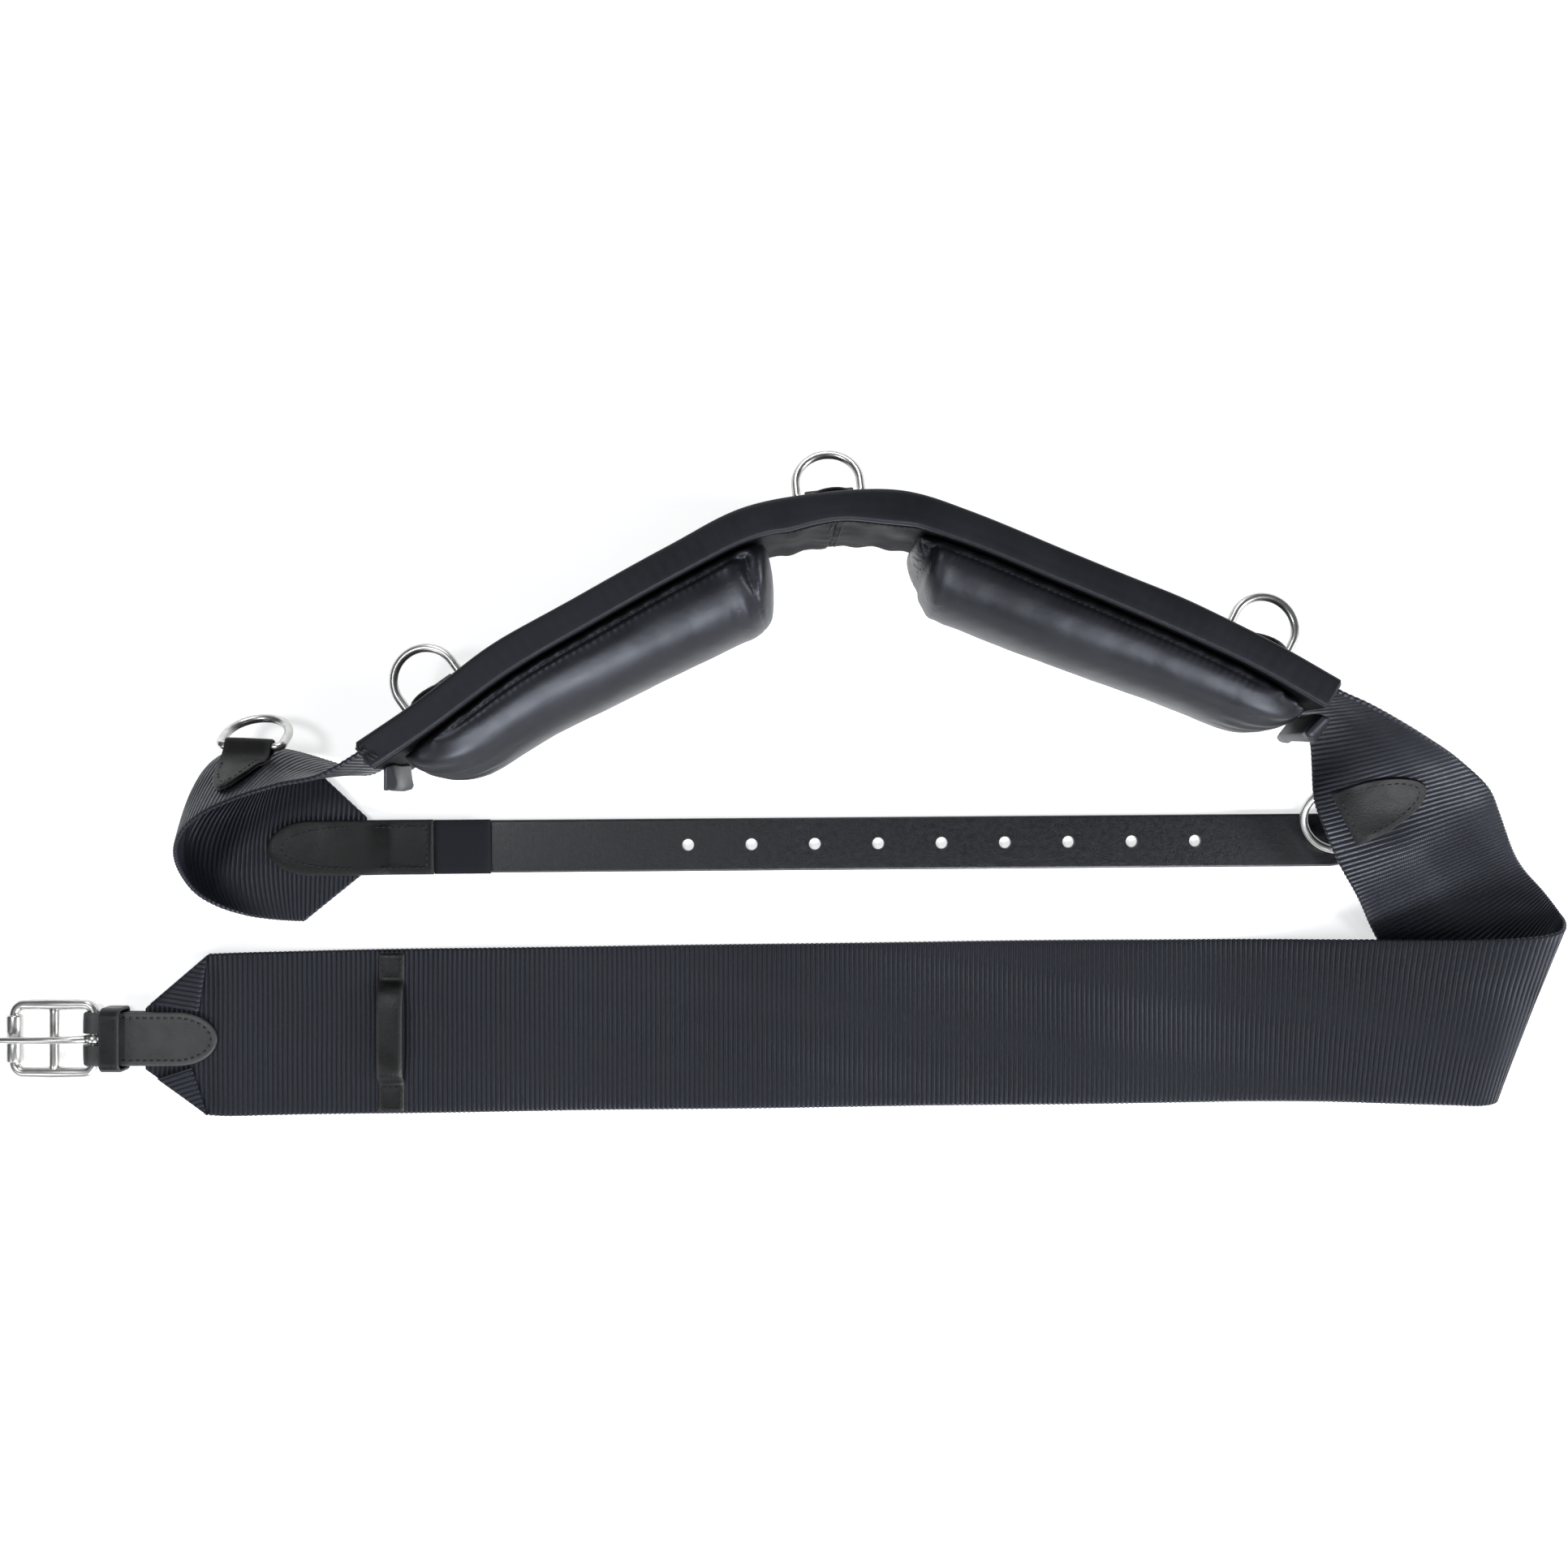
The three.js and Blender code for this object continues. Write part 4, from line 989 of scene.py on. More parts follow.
def cover_outline(s):
    """The cover's section at s: from the floor up the outer face, over the top and down the inside."""
    ripple = 0.22 * math.sin(2 * math.pi * s / 7.3) + 0.12 * math.sin(2 * math.pi * s / 3.9 + 1)
    face = np.linspace(5, 99, 14)
    out = cover_face(s, face) - 0.25 * bump(face, 95.5, 1.8) - 0.25 * bump(face, 8.5, 1.8)
    corner = np.linspace(0, math.pi / 2, 6)
    lean = swell(s) * 0.9
    roll = 2.8 + 0.3 * ripple
    wavy = lining_wave(s)
    top = [
        *[(3.3 + lean + 2.6 * math.cos(a), 101.2 + 2.6 * math.sin(a)) for a in corner],
        (0.5, 104.1 + 0.2 * ripple),
        (-3.2, 104.0 + 0.3 * ripple),
        (-5.8 + 0.5 * wavy, 103.6),
        *[(-8.2 + wavy - 2.9 * math.sin(a), 101.0 + roll * math.cos(a)) for a in corner[1:]],
        (-11.0 + wavy, 99.6),
        (-10.5 + wavy, 98.4),
        (-9.4 + wavy, 97.9),
    ]
    inside = [(-6.9, z) for z in np.linspace(96, 4, 8)]
    bottom = [(-6.5, 1.0), (-4.5, 0.35), (0, 0.2), (3.6, 0.35), (5.2, 1.5), (5.8, 3.2)]
    outline = np.array([*zip(out, face), *top, *inside, *bottom])
    tuck = 1 - smoothstep(end_distance(s), 0, 1.6)
    middle = np.array([-0.5, BACKING_MIDDLE_Z])
    return outline - tuck * np.sign(outline - middle) * np.minimum(np.abs(outline - middle), 1.3)


def bridge_share(s):
    """1 along the bare lining between the pads, 0 under them."""
    return between(s, *[distance_at_x(x) for x in (-12, 2, 72, 84)])


def lining_wave(s):
    """How far the lining's top edge and the cover's roll wave outwards at s."""
    return 1.1 * np.sin(2 * math.pi * (s - LINING_SEAM) / 62 + 1.6) * bridge_share(s)


def lining_outline(s):
    """The lining's section at s: tucked under the roll, then the inner face and a wavy floor edge."""
    bare = bridge_share(s)
    wavy = lining_wave(s)
    close = 1 - smoothstep(abs(s - LINING_SEAM), 0, 2.2)
    top = [(-8.2, 98.3), (-9.4 + wavy, 98.0), (-10.3 + wavy, 97.6)]
    face = np.linspace(96.6, 5, 23)
    crumple = 0.7 * math.sin(2 * math.pi * s / 21) + 0.5 * np.sin(face * 0.07 + s * 0.09)
    drape = bare * (crumple * smoothstep(97 - face, 0, 14) - 0.5) + wavy * smoothstep(face, 40, 96)
    pull = 0.25 * bump(s, LINING_SEAM, 9) * np.sin(face * 0.35)
    inner = np.stack([-10.8 + drape + pull + close * 1.1, face], axis=1)
    waves = 0.9 * math.sin(2 * math.pi * s / 48) + 0.25 * math.sin(2 * math.pi * s / 17)
    low_z = 1.4 + bare * (1.4 + waves)
    floor = [(-10.2, low_z), (-9, low_z - 0.6), (-7.4, low_z)]
    back = [(-7, z) for z in np.linspace(6, 98, 8)]
    outline = np.array([*top, *inner, *floor, *back])
    tuck = 1 - smoothstep(end_distance(s), 0, 1.6)
    return outline - tuck * np.array([0, 1.0]) * np.sign(outline - BACKING_MIDDLE_Z) * 1.3


def sweep(name, distances, outline_at, slant=0):
    """A tube whose section changes along the backing, leaning by the slant at the lining's seam."""
    rings = []
    for s in distances:
        outline = outline_at(s)
        shift = slant * bump(s, LINING_SEAM, 40) * (outline[:, 1] / BACKING_MIDDLE_Z - 1)
        rings.append(on_backing(s + shift, outline[:, 0], outline[:, 1]))
    return ring_mesh(name, np.array(rings))


def build_backing():
    rows = np.linspace(0, BACKING_LENGTH, 420)
    near_end = np.array([0.4, 0.8, 1.2, 1.6])
    rows = np.unique(np.concatenate([rows, near_end, BACKING_LENGTH - near_end]))
    cover = sweep("backing_cover", rows, cover_outline)
    place(cover, "surcingle", "cover_vinyl", COVER_VINYL, "outer_cover", "core_foam")
    for side, low, high in (("left", 0, LINING_SEAM - 0.15), ("right", LINING_SEAM + 0.15, BACKING_LENGTH)):
        fine = np.linspace(0, 2.4, 7)
        rows = np.concatenate([np.linspace(low, high, 210), low + fine, high - fine])
        lining = sweep(f"backing_lining_{side}", np.unique(rows), lining_outline, SEAM_SLANT)
        place(lining, "surcingle", "lining_vinyl", LINING_VINYL, f"inner_lining_{side}")
    sew_backing()


def sew_backing():
    """Rows of stitches along the cover's top and bottom, the roll, the lining seam and the web's ends."""
    s = np.linspace(3, BACKING_LENGTH - 3, 500)
    thread = Stitches(0.34)
    for z in (95.5, 8.5):
        thread.row(on_backing(s, cover_face(s, z) + 0.1, z), backing_outward(s))
    bare = np.linspace(distance_at_x(-6), distance_at_x(76), 120)
    thread.row(on_backing(bare, lining_wave(bare) - 11.2, 95.6), -backing_outward(bare))
    for side in (-3.2, 3.2):
        z = np.linspace(92, 8, 60)
        spots = LINING_SEAM + side + SEAM_SLANT * (z / BACKING_MIDDLE_Z - 1)
        thread.row(on_backing(spots, -11.4, z), -backing_outward(spots))
    for low, high in ((6, 44), (BACKING_LENGTH - 44, BACKING_LENGTH - 6)):
        sew_cross(thread, low, high)
    sew_end_knots()
    thread.piece("backing_stitches", slot="cover_vinyl")


def sew_end_knots():
    """Heavy hand stitches that close the backing's left end round the web."""
    thread = Stitches(0.85, 5.5, 1.0)
    for first, last in ((-1.0, 5.5), (5.0, -1.5), (1.0, 8.0)):
        share = np.linspace(0, 1, 24)
        across = 4.5 - 14 * share
        thread.row(on_backing(first + (last - first) * share, across, 104.0), (0, 0, 1))
    thread.piece("backing_end_knots", slot="cover_vinyl")


def sew_cross(thread, low, high):
    """A box of stitches with a cross in it, through the cover and the web inside it."""
    corners = [(low, 14), (high, 14), (high, 90), (low, 90), (low, 14), (high, 90)]
    for first, last in [*zip(corners, corners[1:]), ((low, 90), (high, 14))]:
        s, z = np.linspace(first, last, 30).T
        thread.row(on_backing(s, cover_face(s, z) + 0.1, z), backing_outward(s))


# ------------------------------------------------------------------ pads

PAD_LOW_Z, PAD_HIGH_Z = 3, 99
PAD_BACK = -BACKING_IN - 0.8
PAD_BRIDGE_ROUND = 19
PAD_LOWER_ROUND = 38
PAD_SQUARENESS = 2.3
PLEAT_REACH = 33
PAD_VOXEL = 0.0045
PAD_CLOTH = {
    "quality": 5,
    "mass": 0.3,
    "tension_stiffness": 15,
    "compression_stiffness": 15,
    "bending_stiffness": 0.6,
    "use_pressure": True,
    "uniform_pressure_force": 4.0,
    "vertex_group_mass": "held",
}
INFLATION_FRAMES = 20
INFLATION_CAP = 0.0055
INFLATION_ROOM = 3.0
PADS = {
    "left": {"bridge_x": -10, "lower_x": -220, "direction": (0.26, -1), "depths": (49, 42, 33), "dart": 19},
    "right": {"bridge_x": 71, "lower_x": 301, "direction": (0.04, -1), "depths": (45, 38, 30), "dart": 13},
}


def pad_span(pad):
    """Distances along the backing of a pad's bridge end and lower end."""
    return distance_at_x(pad["bridge_x"]), distance_at_x(pad["lower_x"])


def pad_rings(pad, inset):
    """Rings round a bolster, from its bridge end to its lower end."""
    start, end = pad_span(pad)
    length, sense = abs(end - start), np.sign(end - start)
    bridge_way = unit([*pad["direction"], 0])
    low_turn = np.linspace(0.12, math.pi / 2, 6)
    high_turn = np.linspace(math.pi / 2, 0.12, 12)
    bridge, lower = PAD_BRIDGE_ROUND - inset, PAD_LOWER_ROUND - inset
    body = np.linspace(PAD_BRIDGE_ROUND, length - PAD_LOWER_ROUND, 24)[1:-1]
    distances = np.concatenate(
        [inset + bridge * (1 - np.cos(low_turn)), body, length - inset - lower * (1 - np.cos(high_turn))]
    )
    factors = np.concatenate([np.sin(low_turn), np.ones(len(body)), np.sin(high_turn)])
    depth_line = catmull_rom([(i, d, 0) for i, d in enumerate(pad["depths"])], 30)
    rings = []
    for distance, factor in zip(distances, factors):
        s = start + sense * distance
        base = on_backing(s, PAD_BACK, 0)
        share = smoothstep(distance / length, 0, 0.55)
        way = unit(bridge_way * (1 - share) - backing_outward(s) * share)
        depth = (np.interp(distance / length * 2, depth_line[:, 0], depth_line[:, 1]) - inset) * factor
        half = ((PAD_HIGH_Z - PAD_LOW_Z) / 2 - inset) * (0.72 + 0.28 * factor)
        angle = np.linspace(0, math.pi, 25)

        def squared(value):
            return np.sign(value) * np.abs(value) ** (2 / PAD_SQUARENESS)

        out = depth * squared(np.sin(angle))
        z = (PAD_HIGH_Z + PAD_LOW_Z) / 2 + half * squared(np.cos(angle))
        front = base + way * out[:, None] + np.array([0, 0, 1]) * z[:, None]
        back_z = np.linspace(z[-1], z[0], 12)[1:-1]
        back = base + np.array([0, 0, 1]) * back_z[:, None]
        rings.append(np.concatenate([front, back]))
    return np.array(rings)


def applied(piece):
    """Makes what a piece's modifiers do part of its mesh."""
    graph = bpy.context.evaluated_depsgraph_get()
    mesh = bpy.data.meshes.new_from_object(piece.evaluated_get(graph))
    piece.modifiers.clear()
    piece.data = mesh
    return piece


def mesh_points(piece):
    points = np.empty(len(piece.data.vertices) * 3)
    piece.data.vertices.foreach_get("co", points)
    return points.reshape(-1, 3)


def set_points(piece, points):
    piece.data.vertices.foreach_set("co", np.asarray(points, np.float32).ravel())
    piece.data.update()


def inflate(piece, held, cap):
    """Blows a closed cloth up with its held points fixed, and lets no point move further than the cap."""
    start = mesh_points(piece)
    group = piece.vertex_groups.new(name="held")
    group.add([int(i) for i in np.flatnonzero(held)], 1.0, "REPLACE")
    cloth = piece.modifiers.new("Cloth", "CLOTH")
    for setting, value in PAD_CLOTH.items():
        setattr(cloth.settings, setting, value)
    cloth.settings.effector_weights.gravity = 0
    cloth.point_cache.frame_start = 1
    cloth.point_cache.frame_end = INFLATION_FRAMES
    scene = bpy.context.scene
    for number in range(1, INFLATION_FRAMES + 1):
        scene.frame_set(number)
    applied(piece)
    scene.frame_set(1)
    moved = mesh_points(piece) - start
    size = np.linalg.norm(moved, axis=1, keepdims=True)
    set_points(piece, start + moved * np.minimum(1, cap / np.maximum(size, 1e-9)))


def along_backing(points):
    """Distance along the backing, and depth inside its line, of plan points."""
    best_s = np.empty(len(points))
    depth = np.empty(len(points))
    for first in range(0, len(points), 4000):
        part = points[first : first + 4000]
        gap = np.linalg.norm(part[:, None, :2] - BACKING_LINE[None, :, :2], axis=2)
        nearest = gap.argmin(axis=1)
        best_s[first : first + 4000] = BACKING_SPOTS[nearest]
        depth[first : first + 4000] = gap[np.arange(len(part)), nearest]
    return best_s, depth


def sculpt_pad(piece, pad):
    """Sewn detail on a blown-up pad: a dart near its bridge end, a puckered seam, and pinched ends."""
    points = to_plan(mesh_points(piece))
    normals = np.empty(len(points) * 3)
    piece.data.vertices.foreach_get("normal", normals)
    normals = normals.reshape(-1, 3)
    s, depth = along_backing(points)
    start, end = pad_span(pad)
    distance = (s - start) * np.sign(end - start)
    length = abs(end - start)
    z = points[:, 2]
    off_back = depth + PAD_BACK
    front = smoothstep(off_back, 0.5, 6)
    lean = pad["dart"] + 0.16 * off_back + 0.8 * np.sin(z * 0.06)
    narrow = 1 - smoothstep(off_back, 2, PLEAT_REACH)
    inside = smoothstep(off_back, 0.5, 4)
    deep = (0.8 + 3.9 * narrow) * (1 - smoothstep(off_back, PLEAT_REACH, 48))
    groove = deep * bump(distance, lean, 1.6 + 3.4 * narrow)
    plump = 1.1 * bump(distance, lean + 10, 6) + 0.8 * bump(distance, lean - 8, 5)
    fan = 0.4 * np.sin(0.5 * (distance - lean))
    fan *= bump(off_back, PLEAT_REACH, 8) * bump(distance, lean + 9, 10)
    dart = inside * (groove - plump * (0.4 + 0.6 * narrow) + fan)
    high = smoothstep(np.abs(z - 51), 26, 40)
    body = between(distance, 14, 26, length - 44, length - 28)
    pucker = 0.14 * np.sin(2 * math.pi * s / 4.3) * bump(off_back, 5.5, 3.2) * high * body
    seam = 1.0 * bump(off_back, 4.2, 1.5) * high * body
    lower = smoothstep(distance, length - 52, length - 8)
    pinch = 0.9 * np.sin(z * 2 * math.pi / 11 + 2 * np.sin(distance * 0.08)) * lower
    ripple = 0.16 * np.sin(distance * 0.09 + z * 0.05) + 0.05 * np.sin(distance * 0.27 + 0.08 * z)
    front = front * smoothstep(distance, 3, 9)
    move = front * (-dart - pucker - seam - pinch * 0.8 + ripple * smoothstep(off_back, 4, 14))
    set_points(piece, to_frame(points + normals * move[:, None]))


def build_pad(side, pad):
    inset = INFLATION_ROOM
    piece = ring_mesh(f"{side}_pad_bolster", pad_rings(pad, inset))
    remesh = piece.modifiers.new("Remesh", "REMESH")
    remesh.mode = "VOXEL"
    remesh.voxel_size = PAD_VOXEL
    applied(piece)
    _, depth = along_backing(to_plan(mesh_points(piece)))
    inflate(piece, depth < -PAD_BACK + 2.0, INFLATION_CAP)
    smooth = piece.modifiers.new("Smooth", "SMOOTH")
    smooth.factor = 0.5
    smooth.iterations = 6
    finer = piece.modifiers.new("Finer", "SUBSURF")
    finer.levels = 2
    applied(piece)
    piece.data.shade_smooth()
    sculpt_pad(piece, pad)
    place(piece, "surcingle", "pad_vinyl", PAD_VINYL, f"{side}_pad_cover", f"{side}_pad_filling")
    thread = Stitches(0.26, 2.2, 1.4)
    tree = surface_tree(piece)
    start, end = sorted(pad_span(pad))
    lays = []
    for s in np.linspace(start + 27, end - 42, 200):
        above = on_backing(s, PAD_BACK - 4.2, 130)
        spot, normal, _, _ = tree.ray_cast(Vector(to_frame(above)), Vector((0, 0, -1)), 0.1)
        if spot is not None:
            lays.append((to_plan(spot), np.array(normal)))
    thread.row([p for p, _ in lays], np.array([n for _, n in lays]))
    thread.piece(f"{side}_pad_stitches", slot="pad_vinyl")


def build_pad_end_tab(side, base_s, tip_s, half_width, reach):
    """The pad cover's folded end, a soft flap that stands off the lining."""
    rings = []
    for share in np.linspace(0, 1, 15):
        s = base_s + (tip_s - base_s) * share
        round_end = math.sqrt(max(1 - max(0, (share - 0.86) / 0.14) ** 2, 0.05))
        angle = np.arange(48) / 48 * 2 * math.pi
        soft = np.sign(np.cos(angle)) * np.abs(np.cos(angle)) ** 0.6
        tall = np.sign(np.sin(angle)) * np.abs(np.sin(angle)) ** 0.25
        z = 54 + 29.5 * tall * (0.93 + 0.07 * round_end) - 5 * share
        fold = 0.9 * np.sin(z * 0.42 + 3 * share) * share + 1.3 * np.sin(z * 0.13) * share
        along = (half_width + 0.5 * np.sin(z * 0.2)) * soft * round_end + fold
        rings.append(on_backing(s + along, PAD_BACK - reach * share - 0.4 * np.sin(z * 0.3) * share, z))
    piece = ring_mesh(f"{side}_pad_tab_folded", np.array(rings))
    place(piece, "surcingle", "pad_vinyl", PAD_VINYL, f"{side}_pad_end_tab")
    return piece


def build_pads():
    for side, pad in PADS.items():
        build_pad(side, pad)
    build_pad_end_tab("left", 3.5, -3.0, 2.7, 10.5)
    build_pad_end_tab("right", BACKING_LENGTH + 7, BACKING_LENGTH + 6, 4.2, 14)


# ------------------------------------------------------------------ rein rings


def web_seat(name, tree, at, across, side, turn, lift):
    """A seat on the outer face of a web: at counts its stations, across runs from top (0) to floor (1)."""
    stations, tip = WEBS[name]
    rails = web_rails(stations, tip)
    first, share = (0, across * 2) if across < 0.5 else (1, across * 2 - 1)
    i = at * RAIL_STEPS
    index = np.arange(rails.shape[1])

    def sample(rail, where):
        return np.array([np.interp(where, index, rail[:, k]) for k in range(3)])

    a, b = rails[first], rails[first + 1]
    ways = [unit(sample(rail, i + 1) - sample(rail, i - 1)) for rail in (a, b)]
    along = ways[0] * (1 - share) + ways[1] * share
    up = sample(a, i) - sample(b, i)
    out = unit(np.cross(up, along)) * side
    point = sample(a, i) * (1 - share) + sample(b, i) * share + out * 1.4
    return Seat(point, along, up, out, turn, lift, tree)


def backing_seat(x):
    s = distance_at_x(x)
    out = backing_outward(s)
    along = np.array([out[1], -out[0], 0])
    return Seat(on_backing(s, BACKING_OUT, BACKING_MIDDLE_Z), along, (0, 0, 1), out)


def ring_path(open_angle, lift):
    """The middle of a D-ring's wire in its seat's axes."""
    half, corner, leg = RING_HALF_WIDTH, RING_CORNER, RING_LEG
    path = np.vstack([
        np.linspace((corner - half, 0), (half - corner, 0), 16),
        arc(half - corner, -corner, corner, 90, 0, 7),
        run((half, -corner), (half, -leg), 5),
        arc(0, -leg, half, 0, -180, 40),
        run((-half, -leg), (-half, -corner), 5),
        arc(corner - half, -corner, corner, 180, 90, 7)[:-1],
    ])
    angle = -math.radians(open_angle)
    y, z = path[:, 1] * math.cos(angle), path[:, 1] * math.sin(angle)
    return np.stack([path[:, 0], y, z + BAR_HEIGHT + lift], axis=1)


def tab_follow(y):
    return float(smoothstep(y, 8, 22))


def build_ring(place_name, seat, open_angle):
    """A D-ring and the leather tab that holds it."""
    path = seat.point + ring_path(open_angle, seat.lift) @ seat.axes
    normal = seat.turn((0, math.sin(math.radians(open_angle)), math.cos(math.radians(open_angle))))
    ring = wire(f"rein_ring_{place_name}", path, RING_WIRE, 20, flat_normal=normal)
    place(ring, f"{place_name}_ring", "nickel", NICKEL, f"d_ring_{place_name}")

    layer = TAB_LEATHER - 0.1
    low, high = 0.25 + layer / 2, 0.3 + layer * 1.5
    radius = RING_WIRE + 0.35 + layer / 2
    angle = np.linspace(-math.pi / 2, -3 * math.pi / 2, 14)
    loop = [(0, radius * math.cos(a), BAR_HEIGHT + radius * math.sin(a)) for a in angle]
    out_line = [(0, 5.5, high + 1.9), (0, 9, high + 0.25), (0, 14, high), (0, TAB_LENGTH, high)]
    in_line = [(0, TAB_LENGTH, low), (0, 14, low), (0, 7, low), (0, 3, low - 0.02)]
    path = np.vstack([in_line, loop, out_line])
    tab = Strap(
        path, (-1, 0, 0), TAB_HALF_WIDTH, layer, ends=(33, 33), crown=0.15, step=1.6, power=2.2, blunt=1.6,
        place_points=lambda p: seat.over(p, tab_follow), turn=seat.turn,
    )
    tab.made(f"rein_tab_{place_name}", TAB_LEATHER_LOOK, f"d_ring_tab_{place_name}", border=1.6)
    thread = Stitches(0.36, 2.5, 1.2)
    near = tab.length - TAB_LENGTH + 8.5
    tab.sew(thread, tab.around(3.2, near))
    across = np.linspace(-10.5, 10.5, 12)
    tab.sew(thread, [(near, v) for v in across])
    tab.sew(thread, [(near + 2.6, v) for v in across])
    thread.piece(f"rein_tab_stitches_{place_name}")


def build_tab_backing(place_name, seat, start, end, half_width, turn, shift):
    """The stitched patch on the other side of the web, under a tab."""
    thickness = 1.6
    c, s = math.cos(math.radians(turn)), math.sin(math.radians(turn))

    def under(points):
        flat = np.asarray(points, float).reshape(-1, 3).copy()
        flat[:, :2] = flat[:, :2] @ np.array([[c, s], [-s, c]]) + shift
        for p in flat:
            p[2] += seat.rise(p[0], p[1], below=True) - 0.15 - thickness / 2
        return (seat.point + flat @ seat.axes).reshape(np.shape(points))

    patch = Strap(
        [(0, start, 0), (0, end, 0)], (1, 0, 0), half_width, thickness, ends=(0, 0.72 * (end - start)),
        step=2.4, power=1.75, blunt=1.2, place_points=under, turn=seat.turn, edge_thin=-0.25,
    )
    names = f"rein_tab_backing_{place_name}", f"d_ring_backing_{place_name}"
    patch.made(names[0], TAB_LEATHER_LOOK, names[1], border=2.4)
    thread = Stitches(0.38, 2.6, 1.3)
    patch.sew(thread, patch.around(3.6, 3.4))
    patch.sew(thread, [(3.4, v) for v in np.linspace(-half_width + 4.5, half_width - 4.5, 12)])
    thread.piece(f"rein_tab_backing_stitches_{place_name}")


def build_rings(webs):
    trees = {name: surface_tree(piece) for name, piece in webs.items()}
    seats = {
        "left_pad": (backing_seat(-192), 85),
        "centre": (backing_seat(27), 68),
        "right_pad": (backing_seat(264), 80),
        "left_web": (web_seat("short_web", trees["short_web"], 5.4, 0.49, -1, 0, 1.2), 3),
        "right_web": (web_seat("long_web", trees["long_web"], 6.95, 0.85, 1, 9, 1.5), 12),
    }
    for name, (seat, open_angle) in seats.items():
        build_ring(name, seat, open_angle)
    build_tab_backing("left_web", seats["left_web"][0], 2, TAB_LENGTH, TAB_HALF_WIDTH, 0, (0, 0))
    build_tab_backing("right_web", seats["right_web"][0], -3, 45, 17, -14, (3.5, -3.5))


# ------------------------------------------------------------------ the punched billet

BILLET_ANGLE = math.atan2(BILLET_RIGHT[1] - BILLET_LEFT[1], BILLET_RIGHT[0] - BILLET_LEFT[0])


def on_billet(points):
    """Points given along and across the billet's own line, placed in the plan."""
    points = np.asarray(points, float)
    turned = points.copy()
    turned[..., 0] = points[..., 0] * math.cos(BILLET_ANGLE) - points[..., 1] * math.sin(BILLET_ANGLE)
    turned[..., 1] = points[..., 0] * math.sin(BILLET_ANGLE) + points[..., 1] * math.cos(BILLET_ANGLE)
    turned[..., 1] += BILLET_LEFT[1] - BILLET_LEFT[0] * math.tan(BILLET_ANGLE)
    return turned


def cut(piece, cutters):
    """Cuts the cutters out of a piece, and removes them."""
    for i, cutter in enumerate(cutters):
        boolean = piece.modifiers.new(f"Cut {i}", "BOOLEAN")
        boolean.operation = "DIFFERENCE"
        boolean.solver = "EXACT"
        boolean.object = cutter
    applied(piece)
    for cutter in cutters:
        bpy.data.objects.remove(cutter)
    work = bmesh.new()
    work.from_mesh(piece.data)
    bmesh.ops.dissolve_degenerate(work, dist=1e-6, edges=work.edges)
    work.to_mesh(piece.data)
    work.free()
    piece.data.shade_smooth()
    crisp = piece.modifiers.new("Crisp", "WEIGHTED_NORMAL")
    crisp.keep_sharp = True
    piece.data.set_sharp_from_angle(angle=math.radians(40))
    return piece


def build_billet():
    path = [(x, 0, 1.65) for x in np.linspace(BILLET_LEFT[0], BILLET_RIGHT[0], 40)]
    strap = Strap(
        path, (0, 1, 0), BILLET_HALF_WIDTH, BILLET_THICKNESS - 0.3, ends=(12, 22), crown=0.12, step=3,
        place_points=on_billet,
    )
    piece = strap.mesh("punched_billet", border=1.6, columns=13)
    cutters = []
    for i in range(BILLET_HOLES):
        x = BILLET_FIRST_HOLE_X + i * BILLET_HOLE_PITCH
        angle = np.arange(24) / 24 * 2 * math.pi
        rings = []
        for z, r in ((-3, 1), (0.2, 1), (2.2, 1), (3.4, 1.14), (6, 1.14)):
            r *= BILLET_HOLE_RADIUS
            rings.append(np.stack([x + r * np.cos(angle), r * np.sin(angle), np.full(24, z)], axis=1))
        cutters.append(ring_mesh(f"cutter_{i}", on_billet(np.array(rings))))
    cut(piece, cutters)
    place(piece, "surcingle", "leather", COATED_STRAP, "billet_strap")
    build_billet_patch()
    band_path = [(x, 0, 4.5) for x in BILLET_SPLICE_X]
    half = BILLET_HALF_WIDTH + 0.4
    band = Strap(band_path, (0, 1, 0), half, 1.8, crown=0.25, step=2, place_points=on_billet)
    band.made("billet_splice_sleeve", SPLICE_LOOK, "billet_splice_band", border=1.0)


def build_billet_patch():
    thickness = 2.5
    line = [(-308, 6.6), (-270, 6.6), (-247, 6.6), (-241, 5.1), (-236, 3.5), (-228, 3.45), (-209.5, 3.45)]
    path = rounded_path([(x, 0, z + thickness / 2) for x, z in line])
    patch = Strap(
        path, (0, 1, 0), 16.5, thickness, ends=(26, 0), crown=0.35, step=2, edge_thin=0.25,
        place_points=on_billet,
    )
    patch.made("billet_oval_patch", PATCH_LOOK, "billet_patch", border=2.2, columns=11)
    thread = Stitches(0.4, 2.7, 1.2)
    far = patch.length - 4
    turn = np.linspace(0, math.pi / 2, 14)
    tip = np.stack([48 - 39.5 * np.sin(turn), 12.2 * np.cos(turn)], axis=1)
    upper = np.concatenate([[(far, 12.2)], tip])
    patch.sew(thread, np.concatenate([upper, (upper * [1, -1])[::-1][1:]]))
    patch.sew(thread, [(far, v) for v in np.linspace(-12, 12, 14)])
    thread.piece("billet_patch_stitches")


# ------------------------------------------------------------------ the web's keeper and the buckle end


